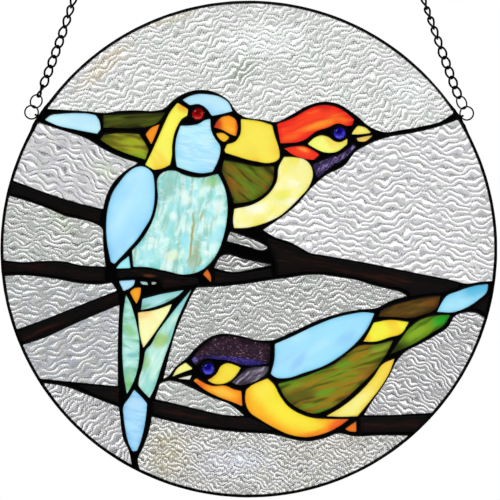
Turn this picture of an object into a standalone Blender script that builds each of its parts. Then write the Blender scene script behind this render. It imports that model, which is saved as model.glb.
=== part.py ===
"""Round stained glass panel: three birds on dark branches, soldered black, hung from two chains.

The panel stands upright in the XZ plane and faces -Y. Its panes drop into the openings of one
solder lattice, a metal band runs round its edge, and a short chain rises from a ring on each
side. The origin is the hanging point: midway between the top links, where hooks would hold them.

The picture is drawn on a cartoon, as a glazier's pattern is: a square sheet ruled into small
squares, with columns counted to the right and rows counted down. Every outline below is the
part of a pane that daylight shows, in cartoon squares.
"""
import math

import bmesh
import bpy
from mathutils import Matrix, Vector

# Driving dimensions, in metres
PANEL_DIAMETER = 0.305
BAND_WALL = 0.0012
BAND_DEPTH = 0.0054
SOLDER_DEPTH = 0.0042
EDGE_SEAM = 0.0008
GLASS_THICKNESS = 0.0030
JEWEL_DIAMETER = 0.0074
JEWEL_THICKNESS = 0.0056
FIT_GAP = 0.0003
CHAIN_WIRE = 0.0010
LINK_PITCH = 0.0065
LINK_WIDTH = 0.0056
LINK_OVERLAP = 0.0004
RING_DIAMETER = 0.0092
EYE_DIAMETER = 0.0038
EYE_WIRE = 0.0010
EYE_SINK = 0.0008

# Counts and angles
LINKS_PER_CHAIN = 11
BAND_STEPS = 72
JEWEL_STEPS = 12
RING_STEPS = 12
EYE_STEPS = 8
LINK_STEPS = 6
LINK_TURN = math.radians(38)
ARC_STEP = math.radians(7.5)
CORNER_TURN = math.radians(48)
BULGE_TOLERANCE = 0.00050

# The cartoon: its centre and the radius of the finished panel on it, in squares
CARTOON_CENTRE = (248.8, 249.1)
CARTOON_RADIUS = 248.3
SQUARE = PANEL_DIAMETER / 2 / CARTOON_RADIUS

# Radii of the panel's edge, in metres, outside to inside
PANEL_RADIUS = PANEL_DIAMETER / 2
LATTICE_RADIUS = PANEL_RADIUS - BAND_WALL - FIT_GAP
SIGHT_RADIUS = LATTICE_RADIUS - EDGE_SEAM

# Half lengths of a link and of a ring, measured to the middle of their wire
LINK_HALF_LENGTH = (LINK_PITCH + CHAIN_WIRE - LINK_OVERLAP) / 2
RING_LOOP_RADIUS = (RING_DIAMETER - CHAIN_WIRE) / 2

# Distance from the panel's centre to the middle of a wire eye, which is sunk in the band
EYE_REACH = PANEL_RADIUS - EYE_SINK + EYE_DIAMETER / 2

# In an outline, EDGE stands for the stretch of the panel's round sight edge between two points
EDGE = None

CLEAR_PANES = {
    "clear_top": [
        (49, 110), (62, 109.8), (90, 111.5), (105, 113), (118, 111), (140, 110.5), (165, 108),
        (170, 103), (183, 94), (198, 90), (212, 91.3), (228, 100), (238, 113), (243, 116.2),
        (264, 120), (275, 122), (290, 115.5), (306, 106.5), (314, 103.5), (326, 101.7),
        (338, 104), (353, 113), (373, 128), (385, 131.5), (400, 129.5), (425, 125), (440, 121),
        (451, 114), EDGE],
    "clear_left_1": [
        (40, 123.5), (62, 130.5), (88, 139.5), (103, 149), (120, 157), (138, 163), (125, 171),
        (113, 183), (106, 197), (103, 209), (80, 203.5), (60, 197.5), (40, 190.5), (17, 181.5),
        EDGE],
    "clear_left_2": [
        (12, 196.5), (25, 200.5), (50, 209.5), (65, 216), (80, 219.5), (100, 226.5),
        (103, 229.5), (103, 240), (105.5, 266.5), (80, 265), (65, 261.5), (40, 261),
        (25, 262), (9, 260), EDGE],
    "clear_left_3": [
        (8.5, 275.5), (25, 275.5), (55, 279), (85, 284), (100, 284.5), (112, 283),
        (117, 290.5), (90, 301), (65, 311), (40, 321), (19, 328.5), EDGE],
    "clear_left_4": [
        (24, 344.5), (40, 339.5), (60, 330.5), (80, 321.5), (100, 313), (119.5, 305),
        (118, 335), (117.8, 386), (90, 383.5), (65, 381), (42, 377.5), EDGE],
    "clear_left_5": [
        (42.5, 383.5), (65, 386.5), (85, 394), (107.6, 402.9), (118.6, 407), (119.8, 414),
        (121.1, 426.5), (123.3, 438.6), (128.5, 449.8), (133.8, 461.5), EDGE],
    "clear_right_1": [
        (456, 121.5), (440, 127), (410, 134.3), (390, 137.5), (368, 145), (356, 151.5),
        (345, 165), (325, 176), (313, 186.5), (295, 206.5), (275, 222), (263, 230),
        (275, 237), (290, 242), (303, 249), (310, 252.8), (320, 254.6), (340, 258),
        (365, 262.5), (389.9, 267.5), (419.7, 273.6), (448.7, 279.3), (468.5, 283.5),
        (480, 281.8), (492.6, 281), EDGE],
    "clear_right_2": [
        (455, 316), (464.6, 312.7), (475.8, 313.1), (484, 317.6), EDGE, (432, 413.3),
        (415, 413.5), (400, 414.5), (380, 415), (364, 415), (369.7, 405.3), (380, 390.5),
        (389, 376.4), (397.3, 360.4), (405.3, 351.9), (419.7, 344.3), (434.1, 336.3),
        (448.1, 326.7)],
    "clear_middle": [
        (196.5, 287.5), (215, 287), (245, 284), (275, 279.5), (290, 277.6), (305, 275.3),
        (320, 274.8), (340, 277.5), (360, 281), (368, 283.8), (390, 289.5), (400, 292),
        (407, 296), (390, 301), (376, 308), (365, 309), (350, 311), (330, 316), (310, 323.5),
        (290, 333), (272, 340), (257.8, 340), (241.7, 336), (226.5, 333.6), (214.5, 335.2),
        (203.3, 341.2), (192.9, 350.8), (186.4, 358.1), (176, 366.5), (168, 376.1),
        (163.5, 379), (167.6, 361.7), (176.4, 330.4), (185.5, 309), (191, 297)],
    "clear_slot_lower": [
        (221.4, 256.2), (224.6, 255), (240, 258.2), (257.5, 262.2), (272, 265),
        (255, 268.2), (243, 271), (232, 271.8), (214.2, 267.8), (216.6, 263)],
    "clear_sliver": [
        (160, 383.7), (167.7, 380.9), (175, 381.5), (190, 387.3), (210, 396.9), (231.3, 405.3),
        (244.5, 415.9), (228.9, 415.2), (202, 410), (178, 404), (155.3, 398.9)],
    "clear_bottom": [
        (151.7, 416.6), (174.9, 422.4), (206.2, 428.4), (240.1, 432.2), (275, 434.8),
        (296, 440.1), (308, 441.2), (324, 438.3), (339.3, 433.4), (352, 436), (380, 435.3),
        (407.5, 434.8), EDGE, (139.7, 469.3), (137.9, 460.1), (143.3, 447.3), (149.3, 430.4),
        (151.3, 420.8)],
}

FRONT_BIRD_PANES = {
    "front_bird_crown": [
        (182.5, 100), (189.4, 96.4), (198, 94.2), (208, 94.4), (221, 97.5), (228, 102.3),
        (232.5, 111.3), (220, 114.4), (212, 116), (205.4, 107.6), (199, 104.2), (190, 105.3)],
    "front_bird_nape": [
        (177.5, 102.8), (188.2, 109.2), (187.4, 115.5), (182, 119), (177.3, 126.5),
        (174.1, 134.5), (172.2, 146), (171.9, 156), (170.1, 164.9), (154.1, 170),
        (145.3, 164.9), (150.1, 155.3), (158.9, 136.1), (165.3, 121.7), (170.1, 112.1)],
    "front_bird_face": [
        (180.5, 125.7), (190.2, 125.7), (198.2, 124.1), (205.4, 120.1), (210.2, 118.9),
        (211.5, 131.3), (215, 138.5), (220, 146), (219.5, 156), (217, 163), (212.5, 171.8),
        (202.2, 173.3), (193.4, 172.1), (176.9, 166.9), (175.6, 157), (176.5, 137.7)],
    "front_bird_beak_upper": [
        (214, 127.3), (217, 121.4), (222.5, 117), (229.2, 115.6), (235, 119), (237.8, 126),
        (236, 136.3), (230, 134.1), (223, 130.2)],
    "front_bird_wing": [
        (141.7, 166.4), (148.1, 168.8), (152.5, 173.2), (154.1, 180.4), (154.7, 192),
        (153.8, 206), (150.5, 218), (144.1, 228.9), (136.1, 240.5), (128.1, 249.4),
        (114.5, 263.9), (110.8, 261.8), (107.2, 242), (106.3, 230), (106.8, 216.5),
        (109.2, 202.9), (112.9, 192.5), (120.1, 181.7), (128.1, 172.4), (135.3, 167.6)],
    "front_bird_body": [
        (158.1, 177.6), (161, 174), (167, 171), (174.6, 170.8), (183, 174.6), (192.2, 177.2),
        (202, 177.6), (217.8, 174), (221.4, 180.4), (225, 189.3), (227.3, 202), (226.7, 220.5),
        (223, 238), (219, 249.5), (209.4, 263.8), (199.8, 271), (185, 274.5), (165, 270.6),
        (144, 266.8), (133.5, 266.8), (132.1, 250.6), (138.5, 243.8), (145.7, 234.1),
        (152.1, 222.1), (156.5, 208.5), (158.1, 195)],
    "front_bird_tail_fan": [
        (142.5, 299), (160, 294.5), (184, 290), (178, 295.5), (165, 303), (153, 307.3),
        (141, 310)],
    "front_bird_tail_yellow": [
        (138, 312.5), (155, 310), (172, 304), (169, 311), (160, 325), (152, 336.5),
        (143.3, 348), (140.5, 337)],
    "front_bird_tail_left": [
        (126, 295), (130, 302), (133.5, 312), (137, 326), (139.3, 340), (139.5, 351),
        (138.5, 364), (136, 375), (132, 385), (127, 394), (124.7, 381), (122.5, 355),
        (122.5, 335), (123.5, 312)],
    "front_bird_tail_right": [
        (191.5, 289.5), (186, 296), (178, 306), (166, 321), (157, 333.5), (151, 344.5),
        (145.3, 351.2), (144.5, 356), (142.5, 367), (139, 380), (138.6, 385), (143, 391.2),
        (149.5, 398), (153.7, 389.7), (158.5, 376), (162.5, 363.2), (170.8, 340),
        (177.2, 320), (185, 303)],
    "front_bird_tail_tip": [
        (134.2, 389.7), (142, 397.3), (147.1, 403.3), (146.5, 412), (145, 423), (143, 433),
        (140.3, 442.5), (136.9, 451), (132.5, 451.2), (128.5, 442.6), (125.7, 430.5),
        (123.7, 416), (123.3, 407), (129.3, 397.7)],
}

BACK_BIRD_PANES = {
    "back_bird_tail_tip": [
        (45, 120), (49.7, 116), (61, 114), (76, 113.3), (89.7, 114), (95.8, 115.3),
        (99.2, 120.5), (100.8, 129), (97.4, 133.8), (72, 128.9), (57, 125.4)],
    "back_bird_rump": [
        (103.6, 115.3), (140, 113.7), (165.3, 112.9), (157, 123), (146.1, 127.3), (136, 128.1),
        (103.6, 127.7)],
    "back_bird_flank": [
        (100.4, 139.7), (103.6, 135.3), (114, 133.7), (138.9, 134.1), (143.5, 140.5),
        (148.7, 149.7), (145.3, 159.7), (128, 154), (113, 147.7)],
    "back_bird_mantle": [
        (241.1, 119), (261.3, 121.7), (272.1, 125.3), (274.1, 133.3), (279.6, 153.3),
        (279.6, 157.7), (276.5, 160.9), (270, 162.9), (255, 161.2), (225.6, 152.9),
        (224.4, 150.1), (226.8, 144.5), (235.6, 141.3), (239.6, 135.7)],
    "back_bird_crown": [
        (277, 124), (291, 119), (308, 109.5), (315, 106.5), (326, 105.2), (337, 107.5),
        (345, 112), (354, 119.5), (352, 125.5), (348, 126), (338, 123.5), (328, 127.5),
        (316, 131.5), (305, 139.5), (300, 141.5), (280.5, 143.5)],
    "back_bird_ear": [
        (284, 148.5), (295, 146.5), (304.6, 146.5), (312.6, 150.1), (319.5, 154.6),
        (313.4, 160.1), (304, 158.7), (294, 155.3)],
    "back_bird_cheek": [
        (307.5, 144), (314, 138.2), (321, 135.5), (328, 137), (335, 141.5), (340, 142.2),
        (347.5, 138.6), (347, 144.5), (336, 152), (323, 152), (315, 148.5)],
    "back_bird_throat": [
        (312.5, 165), (330, 158), (340, 154.5), (353.5, 144.5), (356, 147), (346, 157),
        (328, 169), (317.5, 178), (315, 172)],
    "back_bird_breast": [
        (284, 157), (304.6, 159.7), (309.4, 163.7), (312.8, 174), (309.6, 185.3),
        (299.2, 198.1), (289.6, 207.7), (280, 215.7), (262, 224), (243, 228.1), (234, 228.1),
        (233.1, 221), (234.3, 208.9), (252.7, 204.5), (262, 199.5), (270, 192.5),
        (276.7, 181.3), (279.1, 166)],
    "back_bird_wing": [
        (224, 160.5), (240, 163.2), (255, 166.4), (274.3, 166.6), (271.9, 183.7),
        (267, 190.9), (259, 197.3), (251, 200.9), (234.3, 203.7), (231.9, 195.7),
        (227.1, 182.9), (222.2, 170)],
}

LOWER_BIRD_PANES = {
    "lower_bird_head": [
        (191.7, 359.3), (196.9, 352.9), (204.9, 344.8), (215.3, 338), (227.3, 335.8),
        (240.1, 338), (254.6, 342), (269.8, 344.8), (270.2, 354), (269.4, 362.9),
        (250.5, 365.4), (240.9, 364.5), (232.1, 361.4), (216.1, 359.3), (206.5, 358.3),
        (201, 360.5), (195.3, 365)],
    "lower_bird_cheek": [
        (207.3, 380.2), (211.8, 377.6), (217.2, 372.8), (220.5, 366.5), (226.5, 363.3),
        (234.5, 364.9), (240.8, 367.6), (237.7, 372.9), (230.5, 380.5), (225, 383.2),
        (214, 383.5)],
    "lower_bird_lower_cheek": [
        (232.1, 382.5), (239.3, 375.3), (248.1, 368.7), (261, 366.6), (269.1, 366.4),
        (267, 372.9), (259.4, 378.9), (249.7, 383.3), (238.5, 384.9)],
    "lower_bird_throat": [
        (193.3, 380.5), (196.5, 378.3), (203.3, 382.5), (212, 385.8), (225.7, 385.8),
        (234.5, 389.5), (241.3, 390.9), (242.3, 406.1), (233.7, 402.5), (216.1, 395.7),
        (204.9, 389.7)],
    "lower_bird_belly": [
        (245.1, 397.7), (246, 390), (250.5, 386.1), (261, 380.9), (267.4, 378.3),
        (273, 383.3), (280.2, 396.1), (288.8, 406.9), (300, 413.7), (312, 417.7),
        (328.1, 418.9), (348.9, 419.1), (338.5, 426.5), (321.7, 434.1), (306, 437),
        (291.2, 434.9), (275.4, 428.2), (260.2, 419.4), (249, 411)],
    "lower_bird_wing": [
        (275, 343.9), (288.2, 338.3), (314.7, 325.8), (333.9, 318.2), (349.9, 314.2),
        (365.1, 312.2), (374.4, 313.4), (367.6, 327.8), (355.5, 343.1), (341.9, 354.7),
        (324.3, 365.5), (305.1, 372.3), (285, 378.1), (275.5, 377.2), (270.8, 373.9),
        (274.2, 361)],
    "lower_bird_wing_lower": [
        (277.8, 383.9), (298.7, 378.3), (319.5, 370.7), (335.5, 363.1), (349.9, 351.9),
        (358, 346.3), (377.2, 344.3), (393.1, 340.3), (386, 353.9), (374.8, 370.3),
        (361.2, 383.9), (345.1, 398.4), (327.5, 409.6), (314, 413.4), (301.1, 409.6),
        (287.5, 400.2)],
    "lower_bird_saddle": [
        (363.2, 341.5), (369, 331.8), (373.6, 322.6), (390, 319.9), (408.9, 322.1),
        (400.5, 333.9), (390, 337), (376, 341.4)],
    "lower_bird_flank_strip": [
        (326.1, 416.1), (341.7, 406.9), (358.5, 393.3), (373.8, 376.4), (382.5, 364.2),
        (394.6, 358.4), (389.8, 371.6), (380.2, 387.7), (369.7, 401.3), (357.5, 416.1),
        (342.5, 416.6)],
    "lower_bird_tail_brown": [
        (378.5, 316.6), (380.5, 312), (388, 307.5), (398, 304), (410, 301), (425, 297.5),
        (440.5, 296), (436.5, 308), (424.5, 314.2), (411, 318), (395, 317)],
    "lower_bird_tail_green": [
        (390, 354.4), (398.5, 342.5), (407.7, 329.9), (418.1, 321.1), (433, 316),
        (450.1, 314.8), (443.7, 325.1), (432.5, 332.3), (413.3, 343.9)],
    "lower_bird_tail_tip": [
        (436.9, 311.8), (441.4, 303), (446.4, 296.1), (457.1, 291.5), (476.9, 285.4),
        (488, 284), (487, 291), (478.5, 299.5), (464, 308.6), (453.3, 312.1)],
}

BRANCH_PANES = {
    "branch_left_upper": [
        (16, 184.8), (40, 193.5), (60, 200.5), (80, 206.5), (101.5, 212), (99, 222.8),
        (80, 216.4), (65, 212.9), (50, 206.4), (25, 197.3), (11, 193.2), EDGE],
    "branch_left_middle": [
        (6, 263.5), (25, 265.2), (40, 264.2), (65, 264.7), (80, 268.2), (105, 269.7),
        (105, 281), (85, 280.8), (55, 275.8), (25, 272.3), (6.5, 272.3), EDGE],
    "branch_left_lower": [
        (21, 331.6), (40, 324.3), (65, 314.3), (90, 304.3), (118, 294), (119, 301.7),
        (100, 309.7), (80, 318.2), (60, 327.2), (40, 336.1), (23.5, 341), EDGE],
    "branch_perch": [
        (118.5, 272.2), (133, 270.3), (147, 270.8), (164, 274.2), (182, 278), (198, 279.5),
        (199, 284), (180, 286.5), (164, 288.8), (160, 280), (138, 277.2), (118.5, 277.8)],
    "branch_fork": [
        (215.5, 273), (232, 275.2), (245, 274.3), (270.5, 270.6), (273, 276), (258, 278.8),
        (240, 281.2), (228, 282.6), (215, 283.2)],
    "branch_main": [
        (268, 239.5), (280, 243.4), (297, 249.5), (306, 255.2), (320, 257.8), (340, 261),
        (365, 265.6), (390, 270.6), (420, 276.8), (448.7, 282.4), (459, 285), (450, 290.5),
        (439, 292.8), (425, 294.3), (411.5, 296), (409.5, 292.5), (390, 286.3), (368, 280.6),
        (350, 276), (330, 272.6), (318, 271.6), (303, 272.2), (278, 275.8), (277, 262),
        (272, 250)],
    "branch_lower_left": [
        (153.5, 402.5), (178, 407.3), (202, 413.3), (228.9, 418.5), (247, 419.3),
        (258, 422.5), (272, 430), (262, 430.5), (240.1, 429), (206.2, 425.2), (174.9, 419.2),
        (154, 413.6)],
    "branch_lower_right": [
        (360.5, 418.3), (380, 418.2), (400, 417.6), (415, 416.7), (428.5, 416.4), EDGE,
        (412.5, 431.8), (400, 432), (380, 432.4), (360.5, 432.8)],
}

# Openings for the smallest panes, which have no solid of their own here
SMALL_OPENINGS = {
    "clear_slot_upper": [
        (230.3, 231.7), (240, 234.9), (260.7, 243.3), (268, 247.3), (264, 249.8),
        (251, 247.4), (227.1, 241), (228.7, 235.7)],
    "front_bird_beak_lower": [
        (216, 133.7), (222, 132.9), (229.2, 137), (227.2, 140.1), (224, 142.1), (220, 139.5)],
    "front_bird_wing_tip_upper": [(129, 256), (130.5, 268), (116, 268.5), (119, 264.5)],
    "front_bird_wing_tip_lower": [(119, 281), (135, 280), (134, 284.5), (123.5, 291)],
    "front_bird_foot_left": [
        (130, 292), (134, 288.5), (141, 287.5), (140, 296), (136.5, 304), (133, 298)],
    "front_bird_foot_right": [(207.4, 269.1), (210.8, 276), (211, 282.3), (203, 274.3)],
    "front_bird_spot_1": [(140, 281.5), (147, 282), (148.3, 285), (142, 284.4)],
    "front_bird_spot_2": [(151.3, 282), (157, 282.2), (155.3, 284.3), (152, 284.8)],
    "back_bird_leg": [(145.7, 134.5), (150, 128.9), (159.7, 124.1), (156, 134), (151.3, 144.5)],
    "back_bird_beak_upper": [
        (351.5, 134.5), (354, 130), (358, 125.8), (366, 128), (371, 133), (358, 134.5)],
    "back_bird_beak_lower": [
        (356.5, 138.3), (367, 136.2), (372.5, 135.4), (365, 141.5), (358, 141.5)],
    "lower_bird_beak_upper": [
        (172.4, 376.5), (177.6, 368.1), (185.6, 362.5), (192.9, 368.7), (181.6, 372.7)],
    "lower_bird_beak_lower": [(177.6, 378.6), (191.9, 375.1), (189.6, 379.5)],
    "lower_bird_foot": [(344.9, 428.9), (356, 421.3), (356.3, 431.8), (349, 431)],
    "branch_wedge": [
        (80, 386.4), (100, 387.6), (119, 389), (119.3, 403.4), (108.5, 399.8), (92, 393)],
    "branch_right_end": [(474, 307.5), (482, 301.5), (488.5, 295.5), EDGE, (484.5, 313.5), (478, 309)],
}

# Each eye: the centre of its round jewel on the cartoon
EYES = {
    "front_bird_eye": (198, 114),
    "back_bird_eye": (339.5, 133.2),
    "lower_bird_eye": (208.3, 368.8),
}

# Each chain's way on the cartoon: towards its place on the band, the lowest link, and further up
CHAIN_WAYS = {
    "chain_left": [(31.8, 112.4), (45.1, 80.5), (76.2, -9.5)],
    "chain_right": [(464.8, 114.5), (456.2, 90.9), (420, -10.4)],
}

# Colour, roughness and metallic value of each finish
CLEAR_GLASS = ((0.78, 0.80, 0.80), 0.08, 0.0)
SKY_GLASS = ((0.40, 0.76, 1.00), 0.22, 0.0)
TURQUOISE_GLASS = ((0.50, 0.86, 0.82), 0.24, 0.0)
GREEN_GLASS = ((0.42, 0.60, 0.16), 0.22, 0.0)
OLIVE_GLASS = ((0.20, 0.20, 0.03), 0.22, 0.0)
YELLOW_GLASS = ((0.96, 0.76, 0.08), 0.20, 0.0)
CREAM_GLASS = ((0.95, 0.93, 0.50), 0.22, 0.0)
ORANGE_GLASS = ((0.96, 0.36, 0.02), 0.20, 0.0)
RED_GLASS = ((0.80, 0.05, 0.02), 0.18, 0.0)
VIOLET_GLASS = ((0.06, 0.04, 0.14), 0.22, 0.0)
BARK_GLASS = ((0.020, 0.012, 0.010), 0.18, 0.0)
RED_JEWEL = ((0.35, 0.00, 0.02), 0.06, 0.0)
BLUE_JEWEL = ((0.02, 0.01, 0.35), 0.06, 0.0)
BLACK_SOLDER = ((0.012, 0.012, 0.013), 0.34, 0.85)
BLACK_CHAIN = ((0.016, 0.016, 0.017), 0.30, 0.90)

PANE_FINISHES = {
    "front_bird_crown": SKY_GLASS,
    "front_bird_nape": YELLOW_GLASS,
    "front_bird_face": SKY_GLASS,
    "front_bird_beak_upper": ORANGE_GLASS,
    "front_bird_wing": SKY_GLASS,
    "front_bird_body": TURQUOISE_GLASS,
    "front_bird_tail_fan": TURQUOISE_GLASS,
    "front_bird_tail_yellow": YELLOW_GLASS,
    "front_bird_tail_left": TURQUOISE_GLASS,
    "front_bird_tail_right": TURQUOISE_GLASS,
    "front_bird_tail_tip": SKY_GLASS,
    "back_bird_tail_tip": SKY_GLASS,
    "back_bird_rump": OLIVE_GLASS,
    "back_bird_flank": GREEN_GLASS,
    "back_bird_mantle": YELLOW_GLASS,
    "back_bird_crown": RED_GLASS,
    "back_bird_ear": RED_GLASS,
    "back_bird_cheek": YELLOW_GLASS,
    "back_bird_throat": VIOLET_GLASS,
    "back_bird_breast": CREAM_GLASS,
    "back_bird_wing": OLIVE_GLASS,
    "lower_bird_head": VIOLET_GLASS,
    "lower_bird_cheek": YELLOW_GLASS,
    "lower_bird_lower_cheek": VIOLET_GLASS,
    "lower_bird_throat": ORANGE_GLASS,
    "lower_bird_belly": ORANGE_GLASS,
    "lower_bird_wing": SKY_GLASS,
    "lower_bird_wing_lower": GREEN_GLASS,
    "lower_bird_saddle": YELLOW_GLASS,
    "lower_bird_flank_strip": CREAM_GLASS,
    "lower_bird_tail_brown": OLIVE_GLASS,
    "lower_bird_tail_green": GREEN_GLASS,
    "lower_bird_tail_tip": SKY_GLASS,
}


def clear_scene():
    for item in list(bpy.data.objects):
        bpy.data.objects.remove(item, do_unlink=True)


def new_collection(name):
    collection = bpy.data.collections.new(name)
    bpy.context.scene.collection.children.link(collection)
    return collection


def finish_material(name, finish):
    """A Principled material with the finish's colour, roughness and metallic value."""
    colour, roughness, metallic = finish
    material = bpy.data.materials.new(name)
    material.use_nodes = True
    shader = material.node_tree.nodes["Principled BSDF"]
    shader.inputs["Base Color"].default_value = (*colour, 1.0)
    shader.inputs["Roughness"].default_value = roughness
    shader.inputs["Metallic"].default_value = metallic
    return material


def on_panel(point):
    """A cartoon point as metres from the panel's centre, right and up."""
    return Vector(((point[0] - CARTOON_CENTRE[0]) * SQUARE, (CARTOON_CENTRE[1] - point[1]) * SQUARE))


def on_sight_edge(point):
    return point.normalized() * SIGHT_RADIUS


def edge_arc(start, end):
    """Points on the sight edge strictly between two points of it, the short way round."""
    first = math.atan2(start.y, start.x)
    sweep = math.remainder(math.atan2(end.y, end.x) - first, math.tau)
    steps = max(1, math.ceil(abs(sweep) / ARC_STEP))
    return [Vector((math.cos(first + sweep * i / steps), math.sin(first + sweep * i / steps)))
            * SIGHT_RADIUS for i in range(1, steps)]


def tangent(before, here, after):
    """Direction of a smooth line through a point, or None at a corner."""
    arriving = (here - before).normalized()
    leaving = (after - here).normalized()
    if arriving.angle(leaving) > CORNER_TURN:
        return None
    return (arriving * (after - here).length + leaving * (here - before).length).normalized()


def smooth_loop(points, straight):
    """Adds the middle of each bowed span: a cubic through the points that keeps their corners."""
    count = len(points)
    tangents = [tangent(points[i - 1], points[i], points[(i + 1) % count]) for i in range(count)]
    loop = []
    for i, here in enumerate(points):
        loop.append(here)
        after = points[(i + 1) % count]
        if i in straight:
            continue
        span = after - here
        leave = (tangents[i] or span.normalized()) * span.length
        arrive = (tangents[(i + 1) % count] or span.normalized()) * span.length
        bulge = (leave - arrive) / 8
        if bulge.length > BULGE_TOLERANCE:
            loop.append((here + after) / 2 + bulge)
    return loop


def daylight_loop(outline):
    """The closed loop of a pane's visible part, in metres from the panel's centre."""
    count = len(outline)
    points = []
    straight = set()
    for i, entry in enumerate(outline):
        if entry is EDGE:
            start = on_sight_edge(on_panel(outline[i - 1]))
            end = on_sight_edge(on_panel(outline[(i + 1) % count]))
            first = len(points) - 1
            points.extend(edge_arc(start, end))
            straight.update(range(first, len(points)))
            continue
        point = on_panel(entry)
        if outline[i - 1] is EDGE or outline[(i + 1) % count] is EDGE:
            point = on_sight_edge(point)
        points.append(point)
    return smooth_loop(points, straight)


def loop_area(loop):
    return sum(a.cross(b) for a, b in zip(loop, loop[1:] + loop[:1])) / 2


def inset_loop(loop, distance):
    """The loop moved inwards by a distance, each corner along the line that halves it."""
    side = math.copysign(1.0, loop_area(loop))
    count = len(loop)
    moved = []
    for i, here in enumerate(loop):
        arriving = (here - loop[i - 1]).normalized()
        leaving = (loop[(i + 1) % count] - here).normalized()
        inward = Vector((-arriving.y - leaving.y, arriving.x + leaving.x)) * side
        half_turn = arriving.angle(leaving) / 2
        moved.append(here + inward.normalized() * distance / math.cos(half_turn))
    return moved


def circle_loop(centre, radius, steps):
    return [centre + Vector((math.cos(math.tau * i / steps), math.sin(math.tau * i / steps))) * radius
            for i in range(steps)]


def flat_curve(name, loops, thickness, collection):
    """A plate of one outline, or of an outline with holes, standing upright on the panel."""
    data = bpy.data.curves.new(name, "CURVE")
    data.dimensions = "2D"
    data.fill_mode = "BOTH"
    data.extrude = thickness / 2
    for loop in loops:
        spline = data.splines.new("POLY")
        spline.points.add(len(loop) - 1)
        for control, point in zip(spline.points, loop):
            control.co = (point.x, point.y, 0.0, 1.0)
        spline.use_cyclic_u = True
    plate = bpy.data.objects.new(name, data)
    plate.matrix_world = PANEL_PLACE
    collection.objects.link(plate)
    return plate


def as_mesh(item, collection):
    """The object's evaluated shape as a mesh object with welded points, in the same place."""
    bpy.context.view_layer.update()
    evaluated = item.evaluated_get(bpy.context.evaluated_depsgraph_get())
    mesh = bpy.data.meshes.new_from_object(evaluated)
    weld = bmesh.new()
    weld.from_mesh(mesh)
    bmesh.ops.remove_doubles(weld, verts=weld.verts, dist=1e-6)
    bmesh.ops.recalc_face_normals(weld, faces=weld.faces)
    weld.to_mesh(mesh)
    weld.free()
    name = item.name
    place = item.matrix_world.copy()
    bpy.data.objects.remove(item, do_unlink=True)
    solid = bpy.data.objects.new(name, mesh)
    solid.matrix_world = place
    collection.objects.link(solid)
    return solid


def wire_loops(name, loops, wire, collection):
    """Closed wires, each bent through its own points, as one mesh object."""
    data = bpy.data.curves.new(name, "CURVE")
    data.dimensions = "3D"
    data.bevel_depth = wire / 2
    data.bevel_resolution = 0
    for loop in loops:
        spline = data.splines.new("POLY")
        spline.points.add(len(loop) - 1)
        for control, point in zip(spline.points, loop):
            control.co = (*point, 1.0)
        spline.use_cyclic_u = True
    wires = bpy.data.objects.new(name, data)
    collection.objects.link(wires)
    return as_mesh(wires, collection)


def hide_guide(item):
    item.hide_render = True
    item.display_type = "WIRE"


def join_to(item, other):
    """Fuses another solid to the item, which keeps the join as a modifier."""
    fuse = item.modifiers.new(f"fuse_{other.name}", "BOOLEAN")
    fuse.operation = "UNION"
    fuse.solver = "EXACT"
    fuse.object = other
    hide_guide(other)


def oval_loop(centre, along, across, half_length, half_width, steps):
    """Points on an oval whose long way runs along one direction and whose width lies across it."""
    return [centre + along * half_length * math.cos(math.tau * i / steps)
            + across * half_width * math.sin(math.tau * i / steps) for i in range(steps)]


def outward_way(way):
    """The direction from the panel's centre to the chain's place on the band."""
    return on_panel(way[0]).normalized()


def chain_centres(way):
    """Centres and directions of the two rings and the links, walked from the band upwards.

    Each neighbour is one contact further on: both centreline half lengths, less a wire.
    """
    stops = [outward_way(way) * (EYE_REACH + RING_LOOP_RADIUS), on_panel(way[1]), on_panel(way[2])]
    reach = [RING_LOOP_RADIUS, RING_LOOP_RADIUS] + [LINK_HALF_LENGTH] * LINKS_PER_CHAIN
    travelled = [0.0]
    for near, far in zip(reach, reach[1:]):
        travelled.append(travelled[-1] + near + far - (CHAIN_WIRE - LINK_OVERLAP))
    lower_leg = (stops[1] - stops[0]).length
    centres = []
    for distance in travelled:
        if distance < lower_leg:
            along = (stops[1] - stops[0]).normalized()
            flat = stops[0] + along * distance
        else:
            along = (stops[2] - stops[1]).normalized()
            flat = stops[1] + along * (distance - lower_leg)
        centres.append((flat, along))
    return centres


def build_lattice(parts):
    """All the solder seams as one plate with an opening for each pane and each eye."""
    loops = [circle_loop(Vector((0.0, 0.0)), LATTICE_RADIUS, BAND_STEPS)]
    for outlines in (*PANE_GROUPS, SMALL_OPENINGS):
        loops.extend(daylight_loop(outline) for outline in outlines.values())
    for centre in EYES.values():
        loops.append(circle_loop(on_panel(centre), JEWEL_DIAMETER / 2 + FIT_GAP, JEWEL_STEPS))
    lattice = flat_curve("solder_lattice", loops, SOLDER_DEPTH, parts)
    lattice.data.materials.append(finish_material("solder_lattice", BLACK_SOLDER))


def build_panes(parts):
    """One pane for each outline, smaller than its opening by the fitting gap."""
    for outlines in PANE_GROUPS:
        for name, outline in outlines.items():
            loop = inset_loop(daylight_loop(outline), FIT_GAP)
            pane = flat_curve(name, [loop], GLASS_THICKNESS, parts)
            fallback = BARK_GLASS if name.startswith("branch") else CLEAR_GLASS
            pane.data.materials.append(finish_material(name, PANE_FINISHES.get(name, fallback)))


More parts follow.
